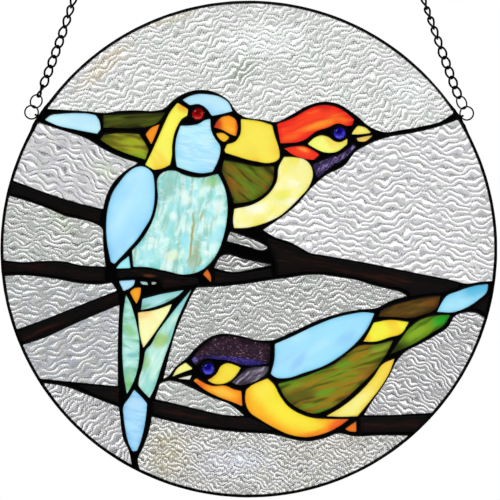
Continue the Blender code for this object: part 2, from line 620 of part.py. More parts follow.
def build_eyes(parts):
    """Round glass jewels, domed front and back, each in its own opening."""
    for name, centre in EYES.items():
        mesh = bpy.data.meshes.new(name)
        ball = bmesh.new()
        bmesh.ops.create_uvsphere(ball, u_segments=JEWEL_STEPS, v_segments=JEWEL_STEPS // 2, radius=0.5)
        flatten = Matrix.Diagonal((JEWEL_DIAMETER, JEWEL_DIAMETER, JEWEL_THICKNESS, 1.0))
        bmesh.ops.transform(ball, matrix=flatten, verts=ball.verts)
        ball.to_mesh(mesh)
        ball.free()
        mesh.shade_smooth()
        jewel = bpy.data.objects.new(name, mesh)
        flat = on_panel(centre)
        jewel.matrix_world = PANEL_PLACE @ Matrix.Translation((flat.x, flat.y, 0.0))
        finish = RED_JEWEL if name == "front_bird_eye" else BLUE_JEWEL
        mesh.materials.append(finish_material(name, finish))
        parts.objects.link(jewel)


def build_band(parts, guides):
    """The edge band, turned round the panel, with a wire eye for each chain."""
    mesh = bpy.data.meshes.new("edge_band")
    inner = PANEL_RADIUS - BAND_WALL
    half = BAND_DEPTH / 2
    easing = BAND_WALL / 3
    profile = [(inner, half), (PANEL_RADIUS - easing, half), (PANEL_RADIUS, half - easing),
               (PANEL_RADIUS, easing - half), (PANEL_RADIUS - easing, -half), (inner, -half)]
    corners = [(x, 0.0, z) for x, z in profile]
    sides = [(i, (i + 1) % len(profile)) for i in range(len(profile))]
    mesh.from_pydata(corners, sides, [])
    band = bpy.data.objects.new("edge_band", mesh)
    band.matrix_world = PANEL_PLACE
    turn = band.modifiers.new("turn", "SCREW")
    turn.steps = BAND_STEPS
    turn.render_steps = BAND_STEPS
    turn.use_merge_vertices = True
    turn.merge_threshold = 1e-5
    mesh.materials.append(finish_material("edge_band", BLACK_SOLDER))
    parts.objects.link(band)

    for side, way in CHAIN_WAYS.items():
        outward = outward_way(way)
        flat = outward * EYE_REACH
        centre = PANEL_PLACE @ Vector((flat.x, flat.y, 0.0))
        radial = PANEL_TURN @ Vector((outward.x, outward.y, 0.0))
        eye_radius = (EYE_DIAMETER - EYE_WIRE) / 2
        eye_loop = oval_loop(centre, radial, FACING, eye_radius, eye_radius, EYE_STEPS)
        join_to(band, wire_loops(f"eye_{side}", [eye_loop], EYE_WIRE, guides))


def build_chains(parts, guides):
    """Each chain as one solid: two rings and the links, fused where each one rests in the next.

    The lower ring lies flat in the panel's plane, so that it passes square through the wire eye.
    """
    half_width = (LINK_WIDTH - CHAIN_WIRE) / 2
    for name, way in CHAIN_WAYS.items():
        loops = []
        for i, (flat, along) in enumerate(chain_centres(way)):
            turn = LINK_TURN if i % 2 else -LINK_TURN
            if i == 0:
                along = outward_way(way)
                turn = 0.0
            centre = PANEL_PLACE @ Vector((flat.x, flat.y, 0.0))
            rising = PANEL_TURN @ Vector((along.x, along.y, 0.0))
            across = Matrix.Rotation(turn, 3, rising) @ rising.cross(FACING)
            size = (RING_LOOP_RADIUS, RING_LOOP_RADIUS, RING_STEPS)
            if i > 1:
                size = (LINK_HALF_LENGTH, half_width, LINK_STEPS)
            loops.append(oval_loop(centre, rising, across, *size))
        chain = wire_loops(name, loops[0::2], CHAIN_WIRE, parts)
        between = wire_loops(f"{name}_between", loops[1::2], CHAIN_WIRE, guides)
        join_to(chain, between)
        chain.data.materials.append(finish_material(name, BLACK_CHAIN))


PANE_GROUPS = (CLEAR_PANES, FRONT_BIRD_PANES, BACK_BIRD_PANES, LOWER_BIRD_PANES, BRANCH_PANES)

# The panel stands upright with its front facing -Y
PANEL_TURN = Matrix.Rotation(math.radians(90), 3, "X")
FACING = Vector((0.0, -1.0, 0.0))

# The hanging point is level with the upper ends of the top links
HANG_HEIGHT = sum(chain_centres(way)[-1][0].y for way in CHAIN_WAYS.values()) / 2 + LINK_HALF_LENGTH
PANEL_PLACE = Matrix.Translation((0.0, 0.0, -HANG_HEIGHT)) @ PANEL_TURN.to_4x4()


def main():
    clear_scene()
    parts = new_collection("stained_glass_panel")
    guides = new_collection("guides")
    build_lattice(parts)
    build_panes(parts)
    build_eyes(parts)
    build_band(parts, guides)
    build_chains(parts, guides)


main()
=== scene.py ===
"""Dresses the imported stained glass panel: its glass, solder, edge band, eye jewels and chains.

The panel hangs in the XZ plane and faces -Y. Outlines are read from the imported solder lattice.
What lies inside an outline, such as a streak in the glass, is placed in cartoon squares: columns
counted to the right and rows counted down, as on the pattern that the panes were cut from.
"""
import logging
import math
from collections.abc import Iterable, Mapping
from dataclasses import dataclass, field, replace
from enum import Enum

import bpy
import numpy as np
from mathutils.geometry import delaunay_2d_cdt
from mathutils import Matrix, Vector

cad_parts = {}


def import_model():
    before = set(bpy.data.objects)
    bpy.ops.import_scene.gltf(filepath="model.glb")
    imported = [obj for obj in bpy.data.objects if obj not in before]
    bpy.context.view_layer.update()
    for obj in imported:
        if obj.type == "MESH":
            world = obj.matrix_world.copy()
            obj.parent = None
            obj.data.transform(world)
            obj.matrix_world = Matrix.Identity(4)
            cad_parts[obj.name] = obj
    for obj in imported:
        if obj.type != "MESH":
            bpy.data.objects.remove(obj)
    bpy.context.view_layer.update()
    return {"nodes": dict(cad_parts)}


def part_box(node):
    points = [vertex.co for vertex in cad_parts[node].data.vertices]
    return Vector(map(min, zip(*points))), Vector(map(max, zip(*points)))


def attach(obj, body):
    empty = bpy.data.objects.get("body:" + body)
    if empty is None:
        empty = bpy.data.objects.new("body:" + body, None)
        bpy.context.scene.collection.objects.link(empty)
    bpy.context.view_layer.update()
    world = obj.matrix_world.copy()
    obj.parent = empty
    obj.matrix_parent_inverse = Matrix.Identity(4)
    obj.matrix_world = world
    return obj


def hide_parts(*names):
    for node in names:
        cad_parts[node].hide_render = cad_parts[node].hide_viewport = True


log = logging.getLogger("stained_glass_panel")

Array = np.ndarray
Colour = tuple[float, float, float]  # linear
Screen = tuple[float, float, float]  # as on a screen, each channel from 0 to 255
Spot = tuple[float, float]
MM = 0.001
TAU = math.tau
WHITE = (1.0, 1.0, 1.0)

SCREEN_FOOT = 0.04045
SCREEN_FOOT_SLOPE = 12.92
SCREEN_POWER = 2.4


class Slot(Enum):
    """The record's material slots."""

    CLEAR = "clear_ripple_glass"
    SKY = "sky_glass"
    TURQUOISE = "turquoise_glass"
    GREEN = "green_glass"
    OLIVE = "olive_glass"
    YELLOW = "yellow_glass"
    CREAM = "cream_glass"
    ORANGE = "orange_glass"
    RED = "red_glass"
    VIOLET = "violet_glass"
    BARK = "bark_glass"
    RED_JEWEL = "red_jewel"
    BLUE_JEWEL = "blue_jewel"
    SOLDER = "black_solder"
    CHAIN = "black_chain"


def screen(red: float, green: float, blue: float) -> Colour:
    """Linear colour of a screen colour whose channels run from 0 to 255.

    Args:
        red: Red channel.
        green: Green channel.
        blue: Blue channel.

    Returns:
        The three linear values, by the usual curve with a straight foot.
    """
    value = np.array((red, green, blue)) / 255
    curve = ((value + 0.055) / 1.055) ** SCREEN_POWER
    return tuple(np.where(value <= SCREEN_FOOT, value / SCREEN_FOOT_SLOPE, curve).tolist())


def grey(value: float) -> Colour:
    """Linear colour of a grey screen value."""
    return screen(value, value, value)


# Shader maths


class Field:
    """A number that varies over a surface: a shader socket with Python's arithmetic."""

    def __init__(self, shader: "Shader", socket: bpy.types.NodeSocket) -> None:
        """Wraps an output socket of a shader's tree."""
        self.shader = shader
        self.socket = socket

    def _math(self, operation: str, *values: "Field | float") -> "Field":
        """The Math node that does one operation on the values given."""
        node = self.shader.node("ShaderNodeMath", {"operation": operation}, dict(enumerate(values)))
        return Field(self.shader, node.outputs[0])

    def __add__(self, other: "Field | float") -> "Field":
        """Sum."""
        return self._math("ADD", self, other)

    __radd__ = __add__

    def __sub__(self, other: "Field | float") -> "Field":
        """Difference."""
        return self._math("SUBTRACT", self, other)

    def __rsub__(self, other: float) -> "Field":
        """Difference from a number."""
        return self._math("SUBTRACT", other, self)

    def __mul__(self, other: "Field | float") -> "Field":
        """Product."""
        return self._math("MULTIPLY", self, other)

    __rmul__ = __mul__

    def __truediv__(self, other: "Field | float") -> "Field":
        """Quotient."""
        return self._math("DIVIDE", self, other)

    def sine(self) -> "Field":
        """Sine of an angle in radians."""
        return self._math("SINE", self)

    def cosine(self) -> "Field":
        """Cosine of an angle in radians."""
        return self._math("COSINE", self)

    def root(self) -> "Field":
        """Square root."""
        return self._math("SQRT", self)

    def step(self, low: float, high: float) -> "Field":
        """A smooth step: 0 below the first level, 1 above the second, an S curve between.

        Args:
            low: The first level.
            high: The second level.

        Returns:
            The step.
        """
        sockets = {"Value": self, "From Min": low, "From Max": high}
        node = self.shader.node("ShaderNodeMapRange", {"interpolation_type": "SMOOTHSTEP"}, sockets)
        return Field(self.shader, node.outputs["Result"])


def sine(value: "Field | Array") -> "Field | Array":
    """Sine of a shader value or of an array."""
    return value.sine() if isinstance(value, Field) else np.sin(value)


def cosine(value: "Field | Array") -> "Field | Array":
    """Cosine of a shader value or of an array."""
    return value.cosine() if isinstance(value, Field) else np.cos(value)


def root(value: "Field | Array") -> "Field | Array":
    """Square root of a shader value or of an array."""
    return value.root() if isinstance(value, Field) else np.sqrt(value)


class Shader:
    """The node tree of one material, whose surface is a single Principled shader."""

    def __init__(self, name: str) -> None:
        """Makes the material under a name.

        Args:
            name: The material's name.
        """
        self.material = bpy.data.materials.new(name)
        self.material.use_nodes = True
        self.tree = self.material.node_tree
        self.surface = self.tree.nodes["Principled BSDF"]
        self.place = self.node("ShaderNodeTexCoord").outputs["Object"]

    def node(self, kind: str, settings: Mapping | None = None,
             sockets: Mapping | None = None) -> bpy.types.Node:
        """Adds a node.

        Args:
            kind: The node's type.
            settings: Its settings, such as a Math node's operation, set before its sockets.
            sockets: Values or links of its inputs, by name or by number.

        Returns:
            The new node.
        """
        node = self.tree.nodes.new(kind)
        for name, value in (settings or {}).items():
            setattr(node, name, value)
        for key, value in (sockets or {}).items():
            self.feed(node.inputs[key], value)
        return node

    def feed(self, socket: bpy.types.NodeSocket, value: object) -> None:
        """Links a socket to a field or another socket, or sets its value.

        Args:
            socket: The input.
            value: What it gets. A colour's three numbers get an alpha of 1.
        """
        if isinstance(value, Field):
            value = value.socket
        if isinstance(value, bpy.types.NodeSocket):
            self.tree.links.new(value, socket)
        elif isinstance(value, tuple) and socket.type == "RGBA":
            socket.default_value = (*value, 1.0)
        else:
            socket.default_value = value

    def dress(self, **values: object) -> None:
        """Feeds the surface's sockets, which are named with underscores for spaces."""
        for name, value in values.items():
            self.feed(self.surface.inputs[name.replace("_", " ")], value)

    def mix(self, share: "Field | float", first: object, second: object) -> bpy.types.NodeSocket:
        """Colour that goes from one to another.

        Args:
            share: 0 for the first colour, 1 for the second.
            first: First colour or its socket.
            second: Second colour or its socket.

        Returns:
            The mixed colour.
        """
        node = self.node("ShaderNodeMix", {"data_type": "RGBA"})
        self.feed(node.inputs[0], share)
        self.feed(node.inputs[6], first)
        self.feed(node.inputs[7], second)
        return node.outputs[2]

    def vector(self, operation: str, first: object, second: object) -> bpy.types.NodeSocket:
        """One operation of Vector Math.

        Args:
            operation: The node's operation.
            first: The first vector.
            second: The second vector, or for SCALE a number.

        Returns:
            The new vector.
        """
        other = "Scale" if operation == "SCALE" else 1
        node = self.node("ShaderNodeVectorMath", {"operation": operation}, {0: first, other: second})
        return node.outputs[0]

    def shaded(self, colour: object, amount: Field) -> bpy.types.NodeSocket:
        """The colour times a number, in each channel."""
        return self.vector("SCALE", colour, amount)

    def tinted(self, colour: object, tint: object) -> bpy.types.NodeSocket:
        """The colour times a tint, channel by channel."""
        return self.vector("MULTIPLY", colour, tint)

    def sheet_fields(self) -> "tuple[Field, Field]":
        """The two numbers that the piece's own UV map holds.

        Returns:
            Its two coordinates.
        """
        sheet = self.node("ShaderNodeUVMap", {"uv_map": "sheet"}).outputs[0]
        parts = self.node("ShaderNodeSeparateXYZ", sockets={0: sheet}).outputs
        return Field(self, parts[0]), Field(self, parts[1])

    def squares(self, board: "Board") -> bpy.types.NodeSocket:
        """The place on the cartoon.

        Args:
            board: The panel's plane.

        Returns:
            A vector of column, row and depth, in squares.
        """
        parts = self.node("ShaderNodeSeparateXYZ", sockets={0: self.place}).outputs
        x, y, z = (Field(self, part) for part in parts)
        column = (x - board.centre[0]) / board.square + board.cartoon_centre[0]
        row = (board.centre[2] - z) / board.square + board.cartoon_centre[1]
        sockets = {0: column, 1: row, 2: y / board.square}
        return self.node("ShaderNodeCombineXYZ", sockets=sockets).outputs[0]

    def mapped(self, vector: object, centre: Spot, reach: Spot, turn: float) -> bpy.types.NodeSocket:
        """A vector as seen from a centre, turned, with each reach as its unit.

        Args:
            vector: The place in squares.
            centre: The centre's column and row.
            reach: Length of the unit along and across, in squares.
            turn: Clockwise turn of the long way from the right, in degrees.

        Returns:
            The socket of the mapped vector.
        """
        sockets = {"Vector": vector, "Location": (*centre, 0.0),
                   "Rotation": (0.0, 0.0, math.radians(turn)), "Scale": (*reach, max(reach))}
        return self.node("ShaderNodeMapping", {"vector_type": "TEXTURE"}, sockets).outputs[0]

    def noise(self, vector: object, seed: float, detail: float = 2.0, scale: float = 1.0) -> Field:
        """Smooth noise about 0.5.

        Args:
            vector: The place.
            seed: Shift of the noise.
            detail: Number of finer octaves.
            scale: Changes over a unit of the vector.

        Returns:
            The noise.
        """
        sockets = {"Vector": vector, "W": seed, "Scale": scale, "Detail": detail, "Roughness": 0.55}
        node = self.node("ShaderNodeTexNoise", {"noise_dimensions": "4D"}, sockets)
        return Field(self, node.outputs[0])

    def warped(self, vector: object, amount: float, size: float, seed: float) -> bpy.types.NodeSocket:
        """The vector pushed about by noise.

        Args:
            vector: The place.
            amount: About twice the furthest push.
            size: Size of the noise's blots, in the vector's units.
            seed: Shift of the noise.

        Returns:
            The pushed vector.
        """
        sockets = {"Vector": vector, "W": seed, "Scale": 1 / size, "Detail": 2.0}
        noise = self.node("ShaderNodeTexNoise", {"noise_dimensions": "4D"}, sockets)
        middle = self.vector("SUBTRACT", noise.outputs["Color"], (0.5, 0.5, 0.5))
        return self.vector("ADD", vector, self.vector("SCALE", middle, amount))

    def bump(self, height: Field, distance: float, strength: float) -> bpy.types.NodeSocket:
        """A normal bent by a height.

        Args:
            height: The height.
            distance: What a height of 1 stands for, in metres.
            strength: Strength of the bend.

        Returns:
            The normal.
        """
        sockets = {"Height": height, "Distance": distance, "Strength": strength}
        return self.node("ShaderNodeBump", sockets=sockets).outputs[0]


# Surfaces worked out with numpy

MOST_BENDS = 9
SPAN_STEPS = 16
FEWEST_POINTS = 8
BAND_TOLERANCE = 0.1 * MM
BLOCK_PAIRS = 3_000_000
ROW_STEP = 0.866
SAME_POINT = 1e-7
SAME_CORNER = 1e-6
FLAT = 1e-12
FACING_FRONT = -0.9


@dataclass(frozen=True)
class Board:
    """The panel's plane: u runs right and v up from its centre, in metres.

    Attributes:
        centre: The panel's centre in the world.
        radius: The panel's outer radius, in metres.
        cartoon_centre: Its centre on the cartoon, column and row.
        cartoon_radius: Its radius on the cartoon, in squares.
    """

    centre: tuple[float, float, float]
    radius: float
    cartoon_centre: tuple[float, float] = (248.8, 249.1)
    cartoon_radius: float = 248.3

    @property
    def square(self) -> float:
        """Side of a cartoon square in metres."""
        return self.radius / self.cartoon_radius

    def plane(self, squares: object) -> Array:
        """Plane coordinates of cartoon points."""
        offset = np.asarray(squares, float) - self.cartoon_centre
        return offset * (self.square, -self.square)

    def world(self, plane: Array, front: object) -> Array:
        """World points of plane coordinates.

        Args:
            plane: The plane coordinates.
            front: Height of each point in front of the panel's middle.

        Returns:
            The world points.
        """
        u, v = np.moveaxis(np.asarray(plane), -1, 0)
        x, y, z = self.centre
        return np.stack([x + u, y - front + 0 * u, z + v], axis=-1)


@dataclass(frozen=True)
class Swell:
    """A gently uneven height: the mean of plane sine waves that run every way.

    Attributes:
        length: Usual wavelength, in metres.
        seed: Seed of the waves' directions, lengths and phases.
        waves: Number of waves.
        spread: Shortest and longest wave, as shares of the usual.
    """

    length: float
    seed: int
    waves: int = 9
    spread: tuple[float, float] = (0.7, 1.5)

    def __call__(self, plane: Array) -> Array:
        """The sum of the waves' sines over the root of their number.

        Args:
            plane: Plane coordinates.

        Returns:
            Height at each, mostly between -1 and 1.
        """
        random = np.random.default_rng(self.seed)
        way = random.uniform(0, TAU, self.waves)
        rate = TAU / (self.length * random.uniform(*self.spread, self.waves))
        waves = np.stack([np.cos(way), np.sin(way)]) * rate
        angle = plane @ waves + random.uniform(0, TAU, self.waves)
        return np.sin(angle).sum(-1) / math.sqrt(self.waves)


@dataclass(frozen=True)
class Ripple:
    """The relief of ripple glass: plane waves of nearly one length and nearly one direction.

    Their sum makes ridges that fork and die out, as sand ripples do, and slower sine waves bend
    the ridges to and fro. The same formula shapes the mesh and lays out the shader's painted
    highlights and shade.

    Attributes:
        length: Distance between ridges, in metres.
        fan: Spread of the waves' directions, in radians.
        band: Spread of their lengths, as a share.
        waves: Number of waves.
        seed: Seed of the waves.
        ease: Keeps weak ridges low: it is added to the squares before their root.
        bends: Height and length of each slower wave, in metres, and its lean in degrees. A wave
            that leans bends each ridge in its own way.
    """

    length: float = 3.6 * MM
    fan: float = 0.24
    band: float = 0.20
    waves: int = 8
    seed: int = 11
    ease: float = 0.8
    bends: tuple[tuple[float, float, float], ...] = (
        (2.4 * MM, 60 * MM, 24), (0.95 * MM, 15 * MM, -34), (0.80 * MM, 10.4 * MM, 38),
        (0.34 * MM, 7.6 * MM, -50))

    def both(self, x: "Field | Array", y: "Field | Array") -> tuple:
        """Sums of the waves' cosines and sines, each over the root of both squared.

        Args:
            x: Distance along the ridges.
            y: Distance across them.

        Returns:
            The even part, 1 on a ridge and -1 in a trough, and the odd part, a quarter wave on.
        """
        random = np.random.default_rng(self.seed)
        bent = y
        starts = random.uniform(0, TAU, MOST_BENDS).tolist()
        for (height, length, lean), phase in zip(self.bends, starts):
            right, up = (TAU / length * part(math.radians(lean)) for part in (math.cos, math.sin))
            bent = bent + height * sine(x * right + y * up + phase)
        turns = random.normal(0, self.fan, self.waves)
        lengths = self.length * (1 + random.uniform(-self.band, self.band, self.waves))
        phases = random.uniform(0, TAU, self.waves)
        even = 0.0
        odd = 0.0
        for turn, length, phase in zip(turns.tolist(), lengths.tolist(), phases.tolist()):
            right, up = (part(turn) * TAU / length for part in (math.sin, math.cos))
            angle = x * right + bent * up + phase
            even = even + cosine(angle)
            odd = odd + sine(angle)
        size = root(even * even + odd * odd + self.ease)
        return even / size, odd / size


def unit(vectors: Array) -> Array:
    """Rows of vectors, each divided by its length."""
    return vectors / np.linalg.norm(vectors, axis=1, keepdims=True)


def smooth_outline(loop: Array, spacing: float, corner: float = math.radians(40)) -> Array:
    """A smooth closed outline through a loop's points that keeps its corners.

    Each span is a Hermite cubic. Its tangent at a point is the mean of the two sides' ways, each
    weighted by the other side's length, or at a corner the side's own way. The outline is then
    read at even steps and eased a little, as solder rounds a corner.

    Args:
        loop: Points of the closed loop.
        spacing: Distance between the new points.
        corner: Least turn of a corner.

    Returns:
        The new points.
    """
    side = np.roll(loop, -1, 0) - loop
    length = np.linalg.norm(side, axis=1, keepdims=True)
    way = side / length
    before, before_length = np.roll(way, 1, 0), np.roll(length, 1, 0)
    mean = unit(before * length + way * before_length)
    sharp = (way * before).sum(1, keepdims=True) < math.cos(corner)
    leave = np.where(sharp, way, mean) * length
    arrive = np.roll(np.where(sharp, before, mean), -1, 0) * length
    t = (np.arange(SPAN_STEPS) / SPAN_STEPS)[:, None, None]
    span = ((2 * t**3 - 3 * t**2 + 1) * loop + (t**3 - 2 * t**2 + t) * leave
            + (3 * t**2 - 2 * t**3) * np.roll(loop, -1, 0) + (t**3 - t**2) * arrive)
    dense = np.swapaxes(span, 0, 1).reshape(-1, 2)
    closed = np.vstack([dense, dense[:1]])
    run = np.concatenate([[0.0], np.cumsum(np.linalg.norm(np.diff(closed, axis=0), axis=1))])
    stops = np.linspace(0, run[-1], max(FEWEST_POINTS, round(run[-1] / spacing)), endpoint=False)
    even = np.stack([np.interp(stops, run, closed[:, axis]) for axis in (0, 1)], axis=-1)
    return 0.5 * even + 0.25 * (np.roll(even, 1, 0) + np.roll(even, -1, 0))


def opened_to_band(loops: Mapping[str, Array], gain: float) -> dict[str, Array]:
    """Outlines with the parts that run along the band moved outwards, to leave a slimmer seam.

    Args:
        loops: The outlines by name.
        gain: How far those parts move, in metres.

    Returns:
        The new outlines by name.
    """
    sight = max(np.linalg.norm(loop, axis=1).max() for loop in loops.values())
    reach = {name: np.linalg.norm(loop, axis=1, keepdims=True) for name, loop in loops.items()}
    return {name: loop * np.where(reach[name] > sight - BAND_TOLERANCE, 1 + gain / reach[name], 1)
            for name, loop in loops.items()}


def moved_out(loop: Array, distance: float | Array) -> Array:
    """An anticlockwise loop with each point moved outwards along the loop's normal."""
    way = unit(np.roll(loop, -1, 0) - np.roll(loop, 1, 0))
    return loop + np.stack([way[:, 1], -way[:, 0]], axis=-1) * distance


def blocks(points: Array, loop: Array) -> list[Array]:
    """The points in blocks small enough to compare with every side of a loop at once."""
    return np.array_split(points, 1 + len(points) * len(loop) // BLOCK_PAIRS)


def distance_to(points: Array, loop: Array) -> Array:
    """Distance from each point to the nearest of a closed loop's straight sides.

    The point's foot on a side is where the offset's share along the side, cut to 0 and 1, lies.

    Args:
        points: The points.
        loop: Points of the loop.

    Returns:
        A distance for each point.
    """
    side = np.roll(loop, -1, 0) - loop
    found = []
    for block in blocks(points, loop):
        offset = block[:, None] - loop
        share = np.clip((offset * side).sum(-1) / (side * side).sum(-1), 0, 1)
        found.append(np.sqrt(((offset - share[..., None] * side) ** 2).sum(-1).min(1)))
    return np.concatenate(found)


def inside(points: Array, loop: Array) -> Array:
    """Whether each point lies in a loop: a ray to its right crosses an odd number of sides.

    Args:
        points: The points.
        loop: Points of the loop.

    Returns:
        A truth value for each point.
    """
    after = np.roll(loop, -1, 0)
    run, rise = (after - loop).T
    slope = run / np.where(rise == 0, FLAT, rise)
    found = []
    for block in blocks(points, loop):
        x, y = block[:, :1], block[:, 1:]
        spans = (loop[:, 1] > y) != (after[:, 1] > y)
        found.append((spans & (loop[:, 0] + (y - loop[:, 1]) * slope > x)).sum(1) % 2 == 1)
    return np.concatenate(found)


def near(points: Array, loop: Array, margin: float = 0.0) -> Array:
    """Numbers of the points in the box round a loop, widened by a margin."""
    low, high = loop.min(0) - margin, loop.max(0) + margin
    return np.flatnonzero(((points > low) & (points < high)).all(1))


def hex_points(low: Array, high: Array, spacing: float) -> Array:
    """Points of a grid of equal triangles that covers a rectangle.

    Args:
        low: Its lowest corner.
        high: Its highest corner.
        spacing: Side of a triangle.

    Returns:
        The points, with every second row moved on by half a side.
    """
    columns = np.arange(low[0], high[0], spacing)
    x, y = np.meshgrid(columns, np.arange(low[1], high[1], spacing * ROW_STEP))
    x = x + spacing / 2 * (np.arange(len(x)) % 2)[:, None]
    return np.stack([x.ravel(), y.ravel()], axis=-1)


def triangulated(loops: list[Array], within: Array) -> tuple[Array, Array]:
    """Triangles between an outline and the holes in it.

    Args:
        loops: The outline, then its holes.
        within: Other points to use, all of them inside.

    Returns:
        The points, and the triangles as rows of three point numbers.
    """
    ends = np.cumsum([len(loop) for loop in loops])
    faces = [list(range(end - len(loop), end)) for end, loop in zip(ends.tolist(), loops)]
    points = np.vstack([*loops, within])
    found, _, triangles, _, _, source = delaunay_2d_cdt(points.tolist(), [], faces, 1, SAME_POINT)
    kept = [triangle for triangle, of in zip(triangles, source) if len(of) == 1]
    flat = np.array(kept)
    used, numbers = np.unique(flat, return_inverse=True)
    return np.array(found)[used], numbers.reshape(-1, 3)


def open_sides(triangles: Array, count: int) -> Array:
    """Sides that only one triangle has.

    Args:
        triangles: Rows of three point numbers.
        count: Number of points.

    Returns:
        The sides as rows of two point numbers, in their triangle's order.
    """
    side = np.vstack([triangles[:, [0, 1]], triangles[:, [1, 2]], triangles[:, [2, 0]]])
    start, end = side.T
    return side[~np.isin(start * count + end, end * count + start)]


def slab(plane: Array, triangles: Array, front: Array, back: Array,
         board: Board) -> tuple[Array, Array]:
    """A closed plate: the triangles in front, their copy behind, and walls along their open sides.

    Args:
        plane: Plane coordinates of the points.
        triangles: Rows of three point numbers.
        front: Height of the front over the panel's middle, at each point.
        back: Height of the back.
        board: The panel's plane.

    Returns:
        World points and triangles.
    """
    count = len(plane)
    a, b = open_sides(triangles, count).T
    walls = np.vstack([np.stack([a, a + count, b + count], -1), np.stack([a, b + count, b], -1)])
    points = np.vstack([board.world(plane, front), board.world(plane, back)])
    return points, np.vstack([triangles, triangles[:, ::-1] + count, walls])


def closed_grid(points: Array) -> Array:
    """Four-sided faces of a grid that joins up with itself both ways.

    Args:
        points: The grid of points.

    Returns:
        Rows of four point numbers.
    """
    rows, columns = points.shape[:2]
    number = np.arange(rows * columns).reshape(rows, columns)
    down = np.roll(number, -1, 0)
    return np.stack([number, np.roll(number, -1, 1), np.roll(down, -1, 1), down], -1).reshape(-1, 4)


def round_wire(path: Array, radius: float, sides: int = 12) -> Array:
    """Surface of a wire bent round a closed path, as a grid of points.

    Its rings stand square to the path, on axes taken from the path's own middle, so that they
    turn with it and meet again at its end.

    Args:
        path: Points of the closed path.
        radius: The wire's radius.
        sides: Points round the wire.

    Returns:
        Points by place on the path and place round the wire.
    """
    way = unit(np.roll(path, -1, 0) - np.roll(path, 1, 0))
    out = path - path.mean(0)
    out = unit(out - (out * way).sum(1, keepdims=True) * way)
    side = np.cross(way, out)
    angle = (np.arange(sides) * TAU / sides)[None, :, None]
    return path[:, None] + radius * (np.cos(angle) * out[:, None] + np.sin(angle) * side[:, None])


def make_piece(name: str, points: Array, faces: Array, shader: Shader,
               nodes: Iterable[str] = (), sheet: Array | None = None,
               sharp: float = 50.0) -> bpy.types.Object:
    """Puts arrays into a mesh, as a piece that rides with the panel.

    The faces are turned round if the volume that they close comes out negative.

    Args:
        name: The piece's name.
        points: World points.
        faces: Rows of point numbers, all of one length.
        shader: Its material.
        nodes: CAD nodes that it stands for.
        sheet: Coordinates of each point on the sheet of glass it was cut from, kept as a UV map.
        sharp: Least angle of an edge that isn't shaded smooth, in degrees.

    Returns:
        The piece.
    """
    corners = points[faces]
    fan = np.cross(corners[:, 0], corners[:, 1]) * corners[:, 2]
    volume = fan.sum()
    if faces.shape[1] == 4:
        volume += (np.cross(corners[:, 0], corners[:, 2]) * corners[:, 3]).sum()
    if volume < 0:
        faces = faces[:, ::-1]
    mesh = bpy.data.meshes.new(name)
    mesh.vertices.add(len(points))
    mesh.vertices.foreach_set("co", points.astype(np.float32).ravel())
    mesh.loops.add(faces.size)
    mesh.loops.foreach_set("vertex_index", faces.astype(np.int32).ravel())
    mesh.polygons.add(len(faces))
    mesh.polygons.foreach_set("loop_start", np.arange(len(faces), dtype=np.int32) * faces.shape[1])
    mesh.update(calc_edges=True)
    mesh.shade_smooth()
    mesh.set_sharp_from_angle(angle=math.radians(sharp))
    if sheet is not None:
        layer = mesh.uv_layers.new(name="sheet")
        layer.data.foreach_set("uv", sheet[faces.ravel()].astype(np.float32).ravel())
    mesh.materials.append(shader.material)
    piece = bpy.data.objects.new(name, mesh)
    bpy.context.scene.collection.objects.link(piece)
    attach(piece, "root")
    if nodes:
        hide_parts(*nodes)
    log.info("%s: %d points, %d faces", name, len(points), len(faces))
    return piece


# Finishes

STREAK_SEED = 3.7
GLASS_IOR = 1.5
BROWNING = (1.9, 1.35, 1.0)


@dataclass(frozen=True)
class Streak:
    """Strands or blotches of another colour in a sheet: stretched noise above a level.

    Attributes:
        colour: Colour of the strands.
        level: Noise level where they begin; 0.5 covers half of the sheet.
        size: Their length and width, in squares.
        turn: Clockwise turn of their length from the right, in degrees.
        soft: Width of their edge, as noise.
        share: Strength, 1 for full colour.
        seed: Shift of the noise.
    """

    colour: Screen
    level: float = 0.5
    size: tuple[float, float] = (30.0, 8.0)
    turn: float = 0.0
    soft: float = 0.12
    share: float = 1.0
    seed: float = 0.0

    def over(self, shader: Shader, below: object, squares: object) -> bpy.types.NodeSocket:
        """Lays the strands over a colour.

        Args:
            shader: The material's tree.
            below: The colour below.
            squares: The place on the cartoon.

        Returns:
            The new colour.
        """
        vector = shader.mapped(squares, (0.0, 0.0), self.size, self.turn)
        noise = shader.noise(vector, self.seed + STREAK_SEED)
        cover = noise.step(self.level - self.soft, self.level + self.soft)
        return shader.mix(cover * self.share, below, screen(*self.colour))


@dataclass(frozen=True)
class Wash:
    """A soft patch of another colour at a place on the cartoon.

    Attributes:
        colour: Its colour.
        centre: Column and row of its middle.
        reach: Its half length and half width, in squares.
        turn: Clockwise turn of its length from the right, in degrees.
        share: Strength at its middle.
        core: Share of its reach that has full strength.
    """

    colour: Screen
    centre: tuple[float, float]
    reach: tuple[float, float]
    turn: float = 0.0
    share: float = 1.0
    core: float = 0.3

    def over(self, shader: Shader, below: object, squares: object) -> bpy.types.NodeSocket:
        """Lays the patch over a colour: full strength in its core, then a smooth fall to its reach.

        Args:
            shader: The material's tree.
            below: The colour below.
            squares: The place on the cartoon.

        Returns:
            The new colour.
        """
        vector = shader.mapped(squares, self.centre, self.reach, self.turn)
        ball = shader.node("ShaderNodeTexGradient", {"gradient_type": "SPHERICAL"}, {0: vector})
        cover = Field(shader, ball.outputs[1]).step(0.0, 1.0 - self.core)
        return shader.mix(cover * self.share, below, screen(*self.colour))


